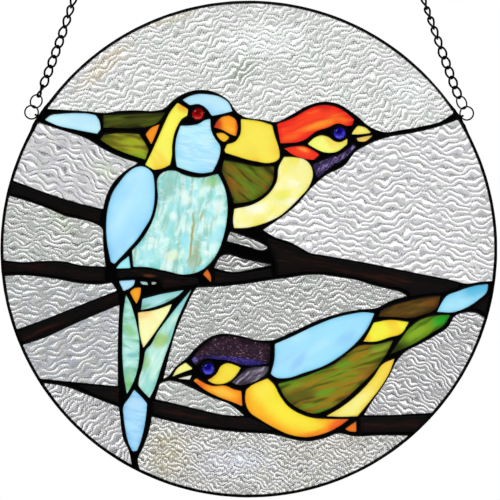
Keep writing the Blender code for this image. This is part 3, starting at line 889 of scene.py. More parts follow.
@dataclass(frozen=True)
class Opal:
    """Coloured opal glass: light shines through it, softened, and its face is smooth.

    Attributes:
        slot: The record's slot; not used.
        body: Main colour.
        layers: Streaks and washes, from the first laid to the last.
        grain: Strength of its fine unevenness.
        warp: How far the layers' edges wander, in squares.
        edge_shade: How much the colour grows darker and deeper towards the pane's edge, as a power:
            painted shade beside the solder.
        edge: Width of the painted shade at the edge, in squares.
        solder_shadow: Width of the painted shadow beside the solder, in squares, and its strength.
        cloud: Strength of broad unevenness.
    """

    slot: Slot
    body: Screen
    layers: tuple[Streak | Wash, ...] = ()
    grain: float = 0.06
    warp: float = 6.0
    edge_shade: float = 0.30
    edge: float = 6.0
    solder_shadow: tuple[float, float] = (2.0, 0.16)
    cloud: float = 0.12

    def shader(self, name: str, board: Board) -> Shader:
        """The material of one pane. Its first UV coordinate is the distance from the solder.

        Args:
            name: The material's name.
            board: The panel's plane.

        Returns:
            The material.
        """
        shader = Shader(name)
        squares = shader.squares(board)
        wandering = shader.warped(squares, self.warp, size=14.0, seed=1.3)
        colour = screen(*self.body)
        for layer in self.layers:
            colour = layer.over(shader, colour, wandering)
        fine = shader.noise(squares, seed=5.1, detail=3.0, scale=0.55)
        cloud = shader.noise(squares, seed=8.3, detail=1.0, scale=0.06)
        inward = shader.sheet_fields()[0]
        # Painted shade: the colour grows darker and deeper towards the solder, by a power.
        edge = 1.0 - (inward + (cloud - 0.5) * 5.0).step(0.0, self.edge)
        width, shade = self.solder_shadow
        # Painted shadow of the solder beads along the pane's edge.
        solder_shadow = 1.0 - inward.step(0.0, width)
        uneven = (fine - 0.5) * (2 * self.grain)
        level = (1.0 + uneven + (cloud - 0.5) * self.cloud) * (1.0 - shade * solder_shadow)
        powers = {"Color": colour, "Gamma": 1.0 + self.edge_shade * edge}
        deeper = shader.node("ShaderNodeGamma", sockets=powers).outputs[0]
        shader.dress(Base_Color=shader.shaded(deeper, level), Roughness=0.42, IOR=GLASS_IOR,
                     Transmission_Weight=0.86, Coat_Weight=0.3, Coat_Roughness=0.05,
                     Specular_IOR_Level=0.15, Normal=shader.bump(fine, 0.05 * MM, 0.5))
        return shader


LILAC_TINT = (0.95, 0.93, 1.0)
GREEN_TINT = (0.93, 0.97, 0.93)
BEIGE_TINT = (0.97, 0.945, 0.885)
BLUE_TINT = (0.91, 0.95, 1.0)
STEEL_TINT = (0.88, 0.91, 1.0)
FAINT_GREEN = (0.955, 0.985, 0.96)


@dataclass(frozen=True)
class Clear:
    """One clear pane's cut of ripple glass: a painted highlight on the ridges, grey between, painted
    shade beside them.

    Attributes:
        turn: Clockwise turn of its ridges from the right, in degrees.
        size: Size of its ripples, as a share of the usual.
        tone: Screen value between the ridges.
        ridge_highlight: Screen value of the painted highlight on a ridge.
        ridge_shade: Screen value of the painted shade in a trough and beside a ridge.
        speckle: Strength of its fine speckle.
        tint: Multiplies the grey in some patches.
        washes: Soft patches of other greys, placed on the cartoon.
        line: Heights of the relief where a ridge's painted highlight starts and is full.
        fan: Spread of its waves' directions, in radians.
    """

    turn: float
    size: float
    tone: float
    ridge_highlight: float
    ridge_shade: float
    speckle: float
    tint: Colour
    washes: tuple[Wash, ...] = ()
    line: tuple[float, float] = (0.50, 1.05)
    fan: float = 0.24

    def patched(self, shader: Shader, squares: object, mottle: Field) -> bpy.types.NodeSocket:
        """The grey between the ridges, with its washes, its tinted patches and its mottle.

        Args:
            shader: The material's tree.
            squares: The place on the cartoon.
            mottle: Noise that lightens and darkens it.

        Returns:
            The colour.
        """
        body = grey(self.tone)
        for wash in self.washes:
            body = wash.over(shader, body, squares)
        first = shader.noise(squares, seed=9.9, scale=0.09).step(0.40, 0.60)
        second = shader.noise(squares, seed=13.1, scale=0.06).step(0.42, 0.62)
        body = shader.tinted(body, shader.mix(first, WHITE, self.tint))
        body = shader.tinted(body, shader.mix(second, WHITE, FAINT_GREEN))
        return shader.shaded(body, 0.32 + 1.36 * mottle)

    def shader(self, name: str, board: Board, ripple: Ripple) -> Shader:
        """The pane's material. It reads the sheet's own coordinates.

        Small ripples lie on the large ones. A painted highlight lies on the top of a ridge, by the
        relief's height, and painted shade lies on its lower side, by the odd part of the waves.

        Args:
            name: The material's name.
            board: The panel's plane.
            ripple: The relief that the mesh has too.

        Returns:
            The material.
        """
        shader = Shader(name)
        x, y = shader.sheet_fields()
        squares = shader.squares(board)
        even, odd = ripple.both(x, y)
        small, _ = replace(ripple, length=ripple.length * 0.42, fan=0.8, band=0.3, waves=6, seed=5,
                           bends=()).both(x, y)
        patch = shader.noise(squares, seed=2.2, detail=3.0, scale=0.06).step(0.34, 0.66)
        blots = shader.mapped(squares, (0.0, 0.0), (8.0, 4.0), self.turn)
        mottle = shader.noise(blots, seed=4.4, detail=3.0)
        fine = shader.noise(squares, seed=6.4, scale=0.9)
        body = self.patched(shader, squares, mottle)
        relief = even * (0.62 + 0.56 * patch) + small * (0.28 * self.speckle * mottle)
        # Painted shade on the lower side of each ridge, stronger in mottled patches.
        shade = 0.30 + 0.90 * mottle.step(0.40, 0.60)
        below = (odd * 0.75 - relief * 0.5 - small * (0.22 * self.speckle)).step(0.22, 0.95) * shade
        body = shader.mix(below * 0.9, body, grey(self.ridge_shade))
        # Painted highlight along the top of each ridge.
        body = shader.mix(relief.step(*self.line), body, grey(self.ridge_highlight))
        level = 1.0 + (fine - 0.5) * (0.95 * self.speckle) * (1.35 - 0.7 * patch)
        shader.dress(Base_Color=shader.shaded(body, level), Roughness=0.04, IOR=GLASS_IOR,
                     Transmission_Weight=1.0, Normal=shader.bump(fine, 0.03 * MM, 0.6))
        return shader


@dataclass(frozen=True)
class BlackMetal:
    """Metal with a black patina, uneven in gloss.

    Attributes:
        slot: The record's slot.
        colour: Its colour.
        rough: Its roughness at its glossiest and at its dullest.
        dent: Depth of its fine unevenness, in metres.
    """

    slot: Slot
    colour: Colour = (0.006, 0.006, 0.0065)
    rough: tuple[float, float] = (0.22, 0.42)
    dent: float = 0.10 * MM

    def shader(self, board: Board) -> Shader:
        """The material, browner where it is worn.

        Args:
            board: The panel's plane.

        Returns:
            The material.
        """
        shader = Shader(self.slot.value)
        squares = shader.squares(board)
        broad = shader.noise(squares, seed=1.1, scale=0.12)
        fine = shader.noise(squares, seed=4.2, detail=3.0, scale=0.7)
        worn = shader.noise(squares, seed=7.7, detail=3.0, scale=0.35).step(0.60, 0.72)
        brown = tuple(value * more for value, more in zip(self.colour, BROWNING))
        colour = shader.mix(worn * 0.6, self.colour, brown)
        low, high = self.rough
        shader.dress(Base_Color=colour, Metallic=0.92, Roughness=low + (high - low) * broad,
                     Normal=shader.bump(fine, self.dent, 0.6))
        return shader


@dataclass(frozen=True)
class Jewel:
    """A glass cabochon, deep in colour in the middle, with a painted crescent of light along its lower
    rim.

    Attributes:
        slot: The record's slot; not used.
        deep: Colour of the middle.
        painted_rim_light: Colour of the painted crescent of light.
    """

    slot: Slot
    deep: Screen
    painted_rim_light: Screen

    def shader(self, name: str, board: Board, centre: Spot) -> Shader:
        """The material of one jewel: a disc of its deep colour with a painted highlight, moved up to
        leave a painted crescent of light.

        Args:
            name: The material's name.
            board: The panel's plane.
            centre: The jewel's column and row on the cartoon.

        Returns:
            The material.
        """
        shader = Shader(name)
        squares = shader.squares(board)
        column, row = centre
        # Painted light: the disc of deep colour sits high and leaves a painted crescent of light below
        # it.
        rim = Wash(self.deep, (column - 0.4, row - 1.6), (6.4, 5.6), core=0.72)
        colour = rim.over(shader, screen(*self.painted_rim_light), squares)
        # Painted highlight up and to the right of the middle.
        painted_glint = Wash(self.painted_rim_light, (column + 1.5, row - 2.4), (1.8, 1.2), share=0.5)
        colour = painted_glint.over(shader, colour, squares)
        shader.dress(Base_Color=colour, Roughness=0.05, IOR=1.52, Transmission_Weight=0.6,
                     Coat_Weight=0.2, Coat_Roughness=0.02, Specular_IOR_Level=0.25)
        return shader


# Colours of the glass

SKY = (176, 234, 255)
SKY_DEEP = (154, 213, 255)
SKY_PALE = (208, 246, 255)
YELLOW = (252, 228, 74)
YELLOW_DEEP = (250, 190, 40)
BARK = (11, 4, 3)
RUST = (66, 24, 8)
RUST_BRIGHT = (112, 44, 14)


def sky(*layers: Streak | Wash, body: Screen = SKY, turn: float = 20.0, seed: float = 0.0) -> Opal:
    """Light blue opal with soft deeper and paler drifts.

    Args:
        layers: Streaks and patches over the drifts.
        body: Its main colour.
        turn: Clockwise turn of the drifts, in degrees.
        seed: Shift of their noise.

    Returns:
        The pane's look.
    """
    drift = (Streak(SKY_DEEP, 0.56, (70.0, 26.0), turn, 0.22, 0.7, seed),
             Streak(SKY_PALE, 0.60, (60.0, 18.0), turn, 0.16, 0.6, seed + 2.0))
    return Opal(Slot.SKY, body, (*drift, *layers), grain=0.03)


def yellow(*layers: Streak | Wash, body: Screen = YELLOW, turn: float = 60.0,
           seed: float = 0.0) -> Opal:
    """Yellow opal that deepens in drifts.

    Args:
        layers: Streaks and patches over the drifts.
        body: Its main colour.
        turn: Clockwise turn of the drifts, in degrees.
        seed: Shift of their noise.

    Returns:
        The pane's look.
    """
    drift = (Streak(YELLOW_DEEP, 0.60, (50.0, 18.0), turn, 0.16, 0.55, seed),)
    return Opal(Slot.YELLOW, body, (*drift, *layers), grain=0.035)


def bark(turn: float, seed: float = 0.0, *layers: Streak | Wash) -> Opal:
    """Near-black opal with faint rusty streaks along the branch.

    Args:
        turn: Clockwise turn of the streaks, in degrees.
        seed: Shift of their noise.
        layers: Streaks and patches over them.

    Returns:
        The pane's look.
    """
    rust = (Streak(RUST, 0.60, (60.0, 3.4), turn, 0.10, 0.55, seed),
            Streak(RUST_BRIGHT, 0.68, (36.0, 2.2), turn, 0.05, 0.4, seed + 4.0))
    return Opal(Slot.BARK, BARK, (*rust, *layers), grain=0.10)


# The look of each pane that isn't clear
PANES: dict[str, Opal] = {
    "front_bird_crown": sky(body=(208, 246, 254), turn=18.0, seed=1.0),
    "front_bird_nape": yellow(Wash(YELLOW_DEEP, (183, 108), (9, 8), 0.0, 0.8),
                              body=(252, 249, 100), seed=2.0),
    "front_bird_face": sky(
        Streak((214, 246, 255), 0.52, (15.0, 2.4), 14.0, 0.07, 0.85),
        Streak((158, 220, 250), 0.57, (15.0, 2.2), 10.0, 0.07, 0.7, 2.0),
        body=(186, 244, 254), turn=12.0, seed=3.0),
    "front_bird_beak_upper": Opal(Slot.ORANGE, (255, 168, 14), (
        Wash((214, 76, 0), (216, 124), (9, 12), -20.0, 1.0),
        Wash((206, 70, 0), (239, 127), (5, 13), 0.0, 0.9),
        Wash((255, 190, 40), (230, 130), (7, 5), 20.0, 0.8))),
    "front_bird_beak_lower": Opal(Slot.ORANGE, (255, 206, 46)),
    "front_bird_wing": sky(Wash((190, 236, 255), (122, 215), (34, 12), -62.0, 0.6),
                           turn=-62.0, seed=4.0),
    "front_bird_wing_tip_upper": sky(body=(184, 252, 255), seed=5.0),
    "front_bird_wing_tip_lower": sky(body=(188, 234, 255), seed=6.0),
    "front_bird_body": Opal(Slot.TURQUOISE, (166, 236, 240), (
        Streak((152, 222, 212), 0.50, (26.0, 9.0), -80.0, 0.10, 0.85),
        Streak((226, 254, 248), 0.50, (13.0, 9.0), -80.0, 0.10, 0.85, 1.0),
        Streak((150, 228, 244), 0.58, (12.0, 8.0), -60.0, 0.06, 0.7, 2.0),
        Streak((148, 196, 176), 0.57, (34.0, 3.4), -80.0, 0.06, 0.7, 3.0),
        Streak((246, 255, 252), 0.60, (7.0, 6.0), 0.0, 0.05, 0.9, 4.0),
        Wash((150, 206, 130), (212, 182), (13, 7), -20.0, 0.8),
        Wash((142, 196, 178), (168, 186), (24, 9), -74.0, 0.7),
        Wash((244, 255, 250), (186, 200), (9, 6), -50.0, 0.8),
        Wash((244, 255, 250), (173, 216), (6, 7), 0.0, 0.8),
        Wash((244, 255, 250), (219, 206), (12, 7), -60.0, 0.7),
        Wash((236, 250, 214), (172, 256), (12, 7), 0.0, 0.7),
        Wash((166, 160, 76), (191.5, 240), (40, 2.3), -84.0, 0.9),
        Wash((166, 160, 86), (199, 262), (9, 1.8), -76.0, 0.7),
        Wash((150, 170, 110), (196, 254), (26, 6), -78.0, 0.6),
        Wash((164, 158, 88), (203, 217), (10, 2.3), -70.0, 0.75)),
        grain=0.07, warp=10.0, edge_shade=0.35),
    "front_bird_tail_fan": Opal(Slot.TURQUOISE, (172, 228, 232), (
        Streak((206, 244, 248), 0.54, (20.0, 5.0), -18.0, 0.1, 0.8),
        Streak((120, 180, 140), 0.60, (24.0, 5.0), -18.0, 0.1, 0.7, 2.0))),
    "front_bird_tail_yellow": yellow(
        Wash((255, 206, 120), (141, 314), (12, 8), 0.0, 0.6),
        body=(254, 255, 194), seed=7.0),
    "front_bird_tail_left": Opal(Slot.TURQUOISE, (184, 236, 226), (
        Streak((212, 248, 242), 0.52, (12.0, 4.5), 10.0, 0.1, 0.8),
        Streak((128, 200, 164), 0.57, (16.0, 5.0), 20.0, 0.1, 0.8, 2.0),
        Wash((138, 204, 124), (130, 330), (12, 7), 50.0, 0.75),
        Wash((100, 196, 200), (132, 355), (9, 4), 0.0, 0.8),
        Wash((206, 250, 246), (132, 363), (8, 3), 0.0, 0.8),
        Wash((146, 210, 140), (128, 382), (14, 5), 88.0, 0.75)), warp=9.0, edge_shade=0.4),
    "front_bird_tail_right": Opal(Slot.TURQUOISE, (190, 240, 226), (
        Streak((222, 252, 240), 0.50, (20.0, 5.0), -58.0, 0.1, 0.85),
        Streak((120, 204, 204), 0.57, (22.0, 5.0), -64.0, 0.1, 0.8, 3.0),
        Wash((146, 220, 228), (181, 304), (18, 8), -56.0, 0.75),
        Wash((168, 206, 110), (161, 340), (14, 10), -40.0, 0.85),
        Wash((168, 214, 140), (146, 362), (14, 7), -80.0, 0.7),
        Wash((150, 224, 216), (150, 386), (12, 7), -60.0, 0.7)), warp=9.0, edge_shade=0.3),
    "front_bird_tail_tip": sky(
        Wash((190, 228, 255), (134, 404), (14, 9), 0.0, 0.7),
        Streak((140, 204, 244), 0.54, (16.0, 3.0), 14.0, 0.1, 0.6),
        body=(186, 232, 255), seed=1.5),
    "front_bird_foot_left": Opal(Slot.ORANGE, (255, 182, 22)),
    "front_bird_foot_right": Opal(Slot.ORANGE, (232, 134, 26)),
    "front_bird_spot_1": Opal(Slot.TURQUOISE, (198, 234, 228)),
    "front_bird_spot_2": Opal(Slot.TURQUOISE, (192, 212, 198)),
    "back_bird_tail_tip": sky(body=(208, 246, 252), turn=8.0, seed=8.0),
    "back_bird_rump": Opal(Slot.OLIVE, (70, 78, 12), (
        Streak((42, 44, 8), 0.52, (34.0, 5.0), -4.0, 0.08, 0.85),
        Streak((98, 114, 22), 0.56, (34.0, 4.0), -6.0, 0.07, 0.85, 2.0),
        Streak((128, 88, 12), 0.62, (16.0, 3.0), 14.0, 0.06, 0.7, 4.0)), warp=4.0),
    "back_bird_flank": Opal(Slot.GREEN, (158, 174, 14), (
        Streak((176, 176, 40), 0.54, (26.0, 6.0), 14.0, 0.1, 0.8),
        Streak((110, 92, 12), 0.56, (26.0, 5.0), 10.0, 0.1, 0.8, 3.0),
        Wash((96, 100, 12), (104, 138), (16, 8), 20.0, 0.8),
        Wash((150, 190, 30), (140, 158), (14, 7), 20.0, 0.6))),
    "back_bird_leg": Opal(Slot.YELLOW, (254, 164, 6)),
    "back_bird_mantle": yellow(body=(250, 234, 84), seed=9.0),
    "back_bird_crown": Opal(Slot.RED, (255, 66, 14), (
        Streak((236, 36, 10), 0.50, (34.0, 6.0), -18.0, 0.1, 0.8),
        Streak((255, 140, 30), 0.62, (36.0, 3.6), -16.0, 0.08, 0.55, 2.0),
        Wash((255, 156, 30), (322, 125), (28, 5.5), -14.0, 0.9),
        Wash((255, 116, 20), (290, 138), (18, 5), -18.0, 0.65),
        Wash((255, 120, 10), (340, 121), (12, 6), 20.0, 0.8),
        Wash((224, 40, 6), (324, 108), (12, 6), 20.0, 0.7)), edge_shade=0.5),
    "back_bird_ear": Opal(Slot.RED, (252, 64, 16), (
        Wash((255, 166, 60), (303, 150), (9, 3), 24.0, 0.9),)),
    "back_bird_cheek": yellow(body=(250, 255, 136), seed=10.0),
    "back_bird_beak_upper": yellow(body=(253, 248, 134)),
    "back_bird_beak_lower": yellow(body=(246, 224, 132)),
    "back_bird_throat": Opal(Slot.VIOLET, (66, 46, 104), (
        Streak((180, 160, 214), 0.56, (6.0, 2.0), -60.0, 0.05, 0.9),
        Streak((22, 12, 48), 0.53, (8.0, 2.6), -50.0, 0.06, 0.9, 3.0),
        # Pale specks: painted sparkle highlights of the granular glass's bumps.
        Streak((236, 226, 250), 0.64, (2.6, 1.7), 0.0, 0.04, 0.95, 6.0)),
        grain=0.3, warp=2.0, edge_shade=0.2),
    "back_bird_breast": Opal(Slot.CREAM, (252, 248, 164), (
        Streak((246, 238, 96), 0.56, (26.0, 12.0), -50.0, 0.12, 0.8),
        Streak((255, 255, 232), 0.58, (16.0, 10.0), -30.0, 0.1, 0.85, 3.0),
        Wash((255, 255, 240), (255, 208), (14, 8), 0.0, 0.8),
        Wash((240, 238, 70), (282, 196), (12, 9), -30.0, 0.7))),
    "back_bird_wing": Opal(Slot.OLIVE, (112, 106, 8), (
        Streak((150, 96, 6), 0.53, (34.0, 4.6), 38.0, 0.08, 0.85),
        Streak((100, 138, 20), 0.55, (34.0, 4.4), 38.0, 0.07, 0.9, 2.0),
        Streak((58, 50, 6), 0.57, (30.0, 4.0), 40.0, 0.07, 0.85, 4.0)), warp=4.0),
    "lower_bird_head": Opal(Slot.VIOLET, (34, 17, 34), (
        Streak((62, 36, 56), 0.54, (18.0, 2.0), 3.0, 0.08, 0.7),
        Wash((46, 38, 132), (238, 362), (44, 5.5), 7.0, 0.9, 0.5),
        Wash((104, 98, 196), (194, 360), (6, 5), 0.0, 0.9),
        # Pale specks: painted sparkle highlights of the granular glass's bumps.
        Streak((240, 184, 196), 0.64, (2.3, 1.3), 6.0, 0.03, 0.95, 5.0),
        Streak((255, 236, 250), 0.69, (1.9, 1.2), 6.0, 0.025, 1.0, 8.0)),
        grain=0.3, warp=1.5, edge_shade=0.2),
    "lower_bird_cheek": yellow(Wash(YELLOW_DEEP, (210, 378), (9, 4), -30.0, 0.7),
                               body=(250, 232, 70)),
    "lower_bird_lower_cheek": Opal(Slot.VIOLET, (84, 76, 92), (
        Streak((186, 176, 196), 0.55, (14.0, 1.8), -42.0, 0.07, 0.85),
        Streak((40, 32, 46), 0.56, (10.0, 3.0), -30.0, 0.08, 0.7, 3.0)), grain=0.3, edge_shade=0.2),
    "lower_bird_throat": Opal(Slot.ORANGE, (255, 172, 14), (
        Wash((255, 204, 70), (222, 392), (18, 6), 18.0, 0.9),
        Wash((250, 118, 10), (200, 384), (9, 6), 20.0, 0.8),
        Wash((250, 140, 20), (240, 402), (8, 5), 20.0, 0.7))),
    "lower_bird_belly": Opal(Slot.ORANGE, (255, 190, 24), (
        Wash((253, 236, 60), (286, 406), (56, 22), 34.0, 1.0, 0.45),
        Wash((255, 238, 84), (262, 388), (14, 16), 0.0, 0.6),
        Wash((255, 150, 16), (322, 433), (34, 6), -14.0, 0.8),
        Wash((250, 104, 20), (340, 424), (22, 8), -14.0, 0.9))),
    "lower_bird_beak_upper": Opal(Slot.YELLOW, (255, 254, 160), edge_shade=0.15),
    "lower_bird_beak_lower": Opal(Slot.YELLOW, (255, 252, 236), edge_shade=0.15),
    "lower_bird_wing": sky(Wash((150, 204, 250), (298, 362), (20, 6), -50.0, 0.7),
                           Wash((150, 206, 252), (346, 338), (16, 8), -30.0, 0.6),
                           body=(166, 230, 253), turn=-28.0),
    "lower_bird_wing_lower": Opal(Slot.GREEN, (132, 134, 10), (
        Streak((104, 166, 18), 0.55, (44.0, 4.6), -20.0, 0.07, 0.9),
        Streak((170, 120, 14), 0.53, (40.0, 4.6), -20.0, 0.08, 0.85, 2.0),
        Streak((74, 64, 6), 0.57, (34.0, 4.0), -18.0, 0.07, 0.8, 4.0),
        Wash((84, 80, 12), (300, 396), (24, 12), -14.0, 0.75),
        Wash((90, 158, 28), (344, 364), (13, 5), -20.0, 0.85),
        Wash((100, 160, 26), (325, 392), (15, 5), -20.0, 0.8),
        Wash((142, 104, 18), (368, 370), (15, 7), -20.0, 0.8),
        Wash((146, 180, 44), (380, 348), (16, 6), -14.0, 0.7)), warp=4.0),
    "lower_bird_saddle": yellow(Wash((252, 190, 50), (366, 338), (9, 6), 0.0, 0.6),
                                body=(251, 247, 68)),
    "lower_bird_flank_strip": Opal(Slot.CREAM, (250, 228, 90), (
        Wash((252, 246, 150), (352, 406), (34, 12), -42.0, 0.9),
        Wash((252, 214, 70), (388, 366), (12, 7), -60.0, 0.6))),
    "lower_bird_foot": Opal(Slot.ORANGE, (242, 140, 24)),
    "lower_bird_tail_brown": Opal(Slot.OLIVE, (88, 66, 12), (
        Streak((130, 96, 16), 0.54, (30.0, 5.0), -16.0, 0.1, 0.8),
        Streak((44, 32, 6), 0.56, (30.0, 5.0), -14.0, 0.1, 0.75, 3.0),
        Wash((124, 74, 14), (432, 303), (12, 7), 0.0, 0.7))),
    "lower_bird_tail_green": Opal(Slot.GREEN, (122, 162, 14), (
        Wash((60, 66, 10), (396, 350), (20, 9), -34.0, 0.95),
        Wash((146, 186, 34), (416, 332), (15, 8), -30.0, 0.7),
        Wash((36, 172, 34), (443, 320), (17, 10), -20.0, 0.95),
        Streak((50, 90, 14), 0.58, (26.0, 4.0), -34.0, 0.08, 0.7))),
    "lower_bird_tail_tip": sky(Wash((96, 196, 232), (476, 290), (20, 9), -20.0, 0.9),
                               body=(164, 232, 250)),
    "branch_left_upper": bark(18.0),
    "branch_left_middle": bark(4.0, 1.0),
    "branch_left_lower": bark(-22.0, 2.0),
    "branch_perch": bark(6.0, 3.0, Wash((120, 60, 30), (149, 275.5), (9, 2.4), 4.0, 0.8)),
    "branch_fork": bark(-3.0, 4.0),
    "branch_wedge": bark(14.0, 5.0),
    "branch_main": bark(10.0, 6.0),
    "branch_lower_left": bark(8.0, 7.0),
    "branch_lower_right": bark(0.0, 8.0),
    "branch_right_end": bark(-50.0, 9.0),
}

# The cut of each clear pane; its fourth and fifth numbers are the painted highlight on a ridge
# and the painted shade beside it.
CLEAR_CUTS: dict[str, Clear] = {
    "clear_top": Clear(-18.0, 0.90, 207.0, 254.0, 120.0, 1.9, GREEN_TINT, (
        Wash((236, 236, 238), (265, 40), (60, 24), 0.0, 0.7),
        Wash((160, 166, 156), (242, 72), (26, 14), -40.0, 0.8),
        Wash((206, 192, 172), (104, 66), (50, 12), -42.0, 0.8),
        Wash((206, 196, 178), (172, 16), (44, 10), -22.0, 0.8),
        Wash((226, 230, 232), (410, 90), (30, 24), 30.0, 0.6)), (0.25, 0.90), 0.34),
    "clear_left_1": Clear(26.0, 0.96, 199.0, 255.0, 96.0, 0.7, LILAC_TINT, (
        Wash((196, 204, 186), (104, 170), (22, 14), 40.0, 0.7),), (0.54, 0.98)),
    "clear_left_2": Clear(6.0, 0.84, 184.0, 255.0, 72.0, 1.6, GREEN_TINT, (
        Wash((178, 186, 168), (62, 222), (26, 10), 50.0, 0.8),), (0.48, 0.96)),
    "clear_left_3": Clear(-8.0, 0.92, 176.0, 250.0, 100.0, 1.6, BLUE_TINT, line=(0.46, 1.0)),
    "clear_left_4": Clear(-12.0, 0.92, 179.0, 248.0, 104.0, 1.3, STEEL_TINT, line=(0.48, 1.02)),
    "clear_left_5": Clear(-32.0, 0.82, 181.0, 255.0, 70.0, 2.2, LILAC_TINT, line=(0.42, 0.92)),
    "clear_right_1": Clear(0.0, 1.02, 202.0, 255.0, 124.0, 1.0, LILAC_TINT, (
        Wash((180, 180, 178), (486, 210), (12, 70), 0.0, 0.6),), (0.26, 0.78), 0.32),
    "clear_right_2": Clear(26.0, 0.74, 174.0, 255.0, 44.0, 1.6, LILAC_TINT, line=(0.38, 0.88)),
    "clear_middle": Clear(-4.0, 0.84, 178.0, 254.0, 74.0, 2.4, GREEN_TINT, (), (0.42, 0.94), 0.34),
    "clear_slot_upper": Clear(14.0, 0.8, 154.0, 230.0, 60.0, 1.1, GREEN_TINT),
    "clear_slot_lower": Clear(0.0, 0.8, 150.0, 250.0, 30.0, 1.5, GREEN_TINT, line=(0.42, 0.94)),
    "clear_sliver": Clear(10.0, 0.88, 180.0, 254.0, 84.0, 1.4, GREEN_TINT),
    "clear_bottom": Clear(8.0, 0.70, 182.0, 255.0, 48.0, 3.2, BEIGE_TINT, (
        Wash((206, 208, 222), (236, 462), (44, 22), 0.0, 0.8),
        Wash((184, 176, 154), (168, 452), (30, 34), 0.0, 0.8),
        Wash((186, 182, 172), (330, 446), (60, 22), -10.0, 0.6)), (0.34, 0.84), 0.5),
}

# Middle of each small opening that has no CAD pane, in cartoon squares
SMALL_OPENINGS: dict[str, tuple[float, float]] = {
    "clear_slot_upper": (248, 240.8),
    "front_bird_beak_lower": (222.6, 137.5),
    "front_bird_wing_tip_upper": (123.3, 262.3),
    "front_bird_wing_tip_lower": (127, 285.5),
    "front_bird_foot_left": (135.5, 295.8),
    "front_bird_foot_right": (207, 275.7),
    "front_bird_spot_1": (144.2, 283.3),
    "front_bird_spot_2": (154.2, 283.4),
    "back_bird_leg": (152.7, 134.3),
    "back_bird_beak_upper": (361.3, 130.2),
    "back_bird_beak_lower": (364.5, 138.5),
    "lower_bird_beak_upper": (182.6, 369.5),
    "lower_bird_beak_lower": (184.8, 377.3),
    "lower_bird_foot": (350.6, 426.6),
    "branch_wedge": (99.7, 394.9),
    "branch_right_end": (481.3, 304.5),
}


# The panel's pieces

SLIM_MIDDLE = (416, 125)
SLIM_REACH = 56
SLIM_GAIN = 0.42 * MM
SLIM_PANES = ("clear_top", "clear_right_1")
BAND_GAIN = 0.5 * MM
OUTLINE_STEP = 0.62 * MM
NET_INSET = 1.1 * MM


def lattice_loops(lattice: bpy.types.Object, board: Board) -> list[Array]:
    """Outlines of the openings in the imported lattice, read from its front face.

    Args:
        lattice: The CAD node, a mesh of loose triangles.
        board: The panel's plane.

    Returns:
        Plane coordinates of each opening, anticlockwise. The lattice's round edge is left out.
    """
    mesh = lattice.data
    points = np.empty(len(mesh.vertices) * 3)
    mesh.vertices.foreach_get("co", points)
    corners = np.empty(len(mesh.loops), dtype=np.int32)
    mesh.loops.foreach_get("vertex_index", corners)
    points = points.reshape(-1, 3)
    _, first, same = np.unique(np.round(points / SAME_CORNER), axis=0, return_index=True,
                               return_inverse=True)
    points = points[first]
    triangles = same.ravel()[corners].reshape(-1, 3)
    a, b, c = (points[triangles[:, i]] for i in range(3))
    normal = np.cross(b - a, c - a)
    facing = triangles[normal[:, 1] < FACING_FRONT * np.linalg.norm(normal, axis=1)]
    follow = dict(open_sides(facing, len(points)).tolist())
    plane = points[:, [0, 2]] - (board.centre[0], board.centre[2])
    loops = []
    while follow:
        here, after = follow.popitem()
        walk = [here]
        while after != walk[0]:
            walk.append(after)
            after = follow.pop(after)
        loops.append(plane[walk[::-1]])
    loops.sort(key=lambda loop: np.ptp(loop[:, 0]))
    return loops[:-1]


def loop_box(loop: Array) -> Array:
    """Lowest and highest coordinates of a loop, as four numbers."""
    return np.concatenate([loop.min(0), loop.max(0)])


def named_openings(loops: list[Array], nodes: Iterable[str], board: Board) -> dict[str, Array]:
    """Finds each pane's opening: the one whose box is nearest to the pane's, or to its middle.

    Args:
        loops: The openings.
        nodes: Names of the CAD panes and jewels.
        board: The panel's plane.

    Returns:
        The openings by the names of their panes.
    """
    boxes = np.array([loop_box(loop) for loop in loops])
    middles = (boxes[:, :2] + boxes[:, 2:]) / 2
    centre = np.array(board.centre)[[0, 2]]
    found = {}
    for name in nodes:
        box = np.array(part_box(name))[:, [0, 2]] - centre
        found[name] = int(np.abs(boxes - box.ravel()).sum(1).argmin())
    for name, middle in SMALL_OPENINGS.items():
        found[name] = int(np.linalg.norm(middles - board.plane(middle), axis=1).argmin())
    if len(set(found.values())) != len(loops):
        raise ValueError("two panes were given the same opening, or an opening has no pane")
    return {name: loops[number] for name, number in found.items()}


def slimmed(outline: Array, board: Board) -> Array:
    """An outline moved outwards along the slim seam from the back bird's beak to the band.

    The move falls off by the fourth power of the distance from the seam's middle.

    Args:
        outline: Plane coordinates of an opening.
        board: The panel's plane.

    Returns:
        The new outline.
    """
    off = np.linalg.norm(outline - board.plane(SLIM_MIDDLE), axis=1, keepdims=True)
    off = off / (SLIM_REACH * board.square)
    return moved_out(outline, SLIM_GAIN * np.clip(1 - off**4, 0, 1))


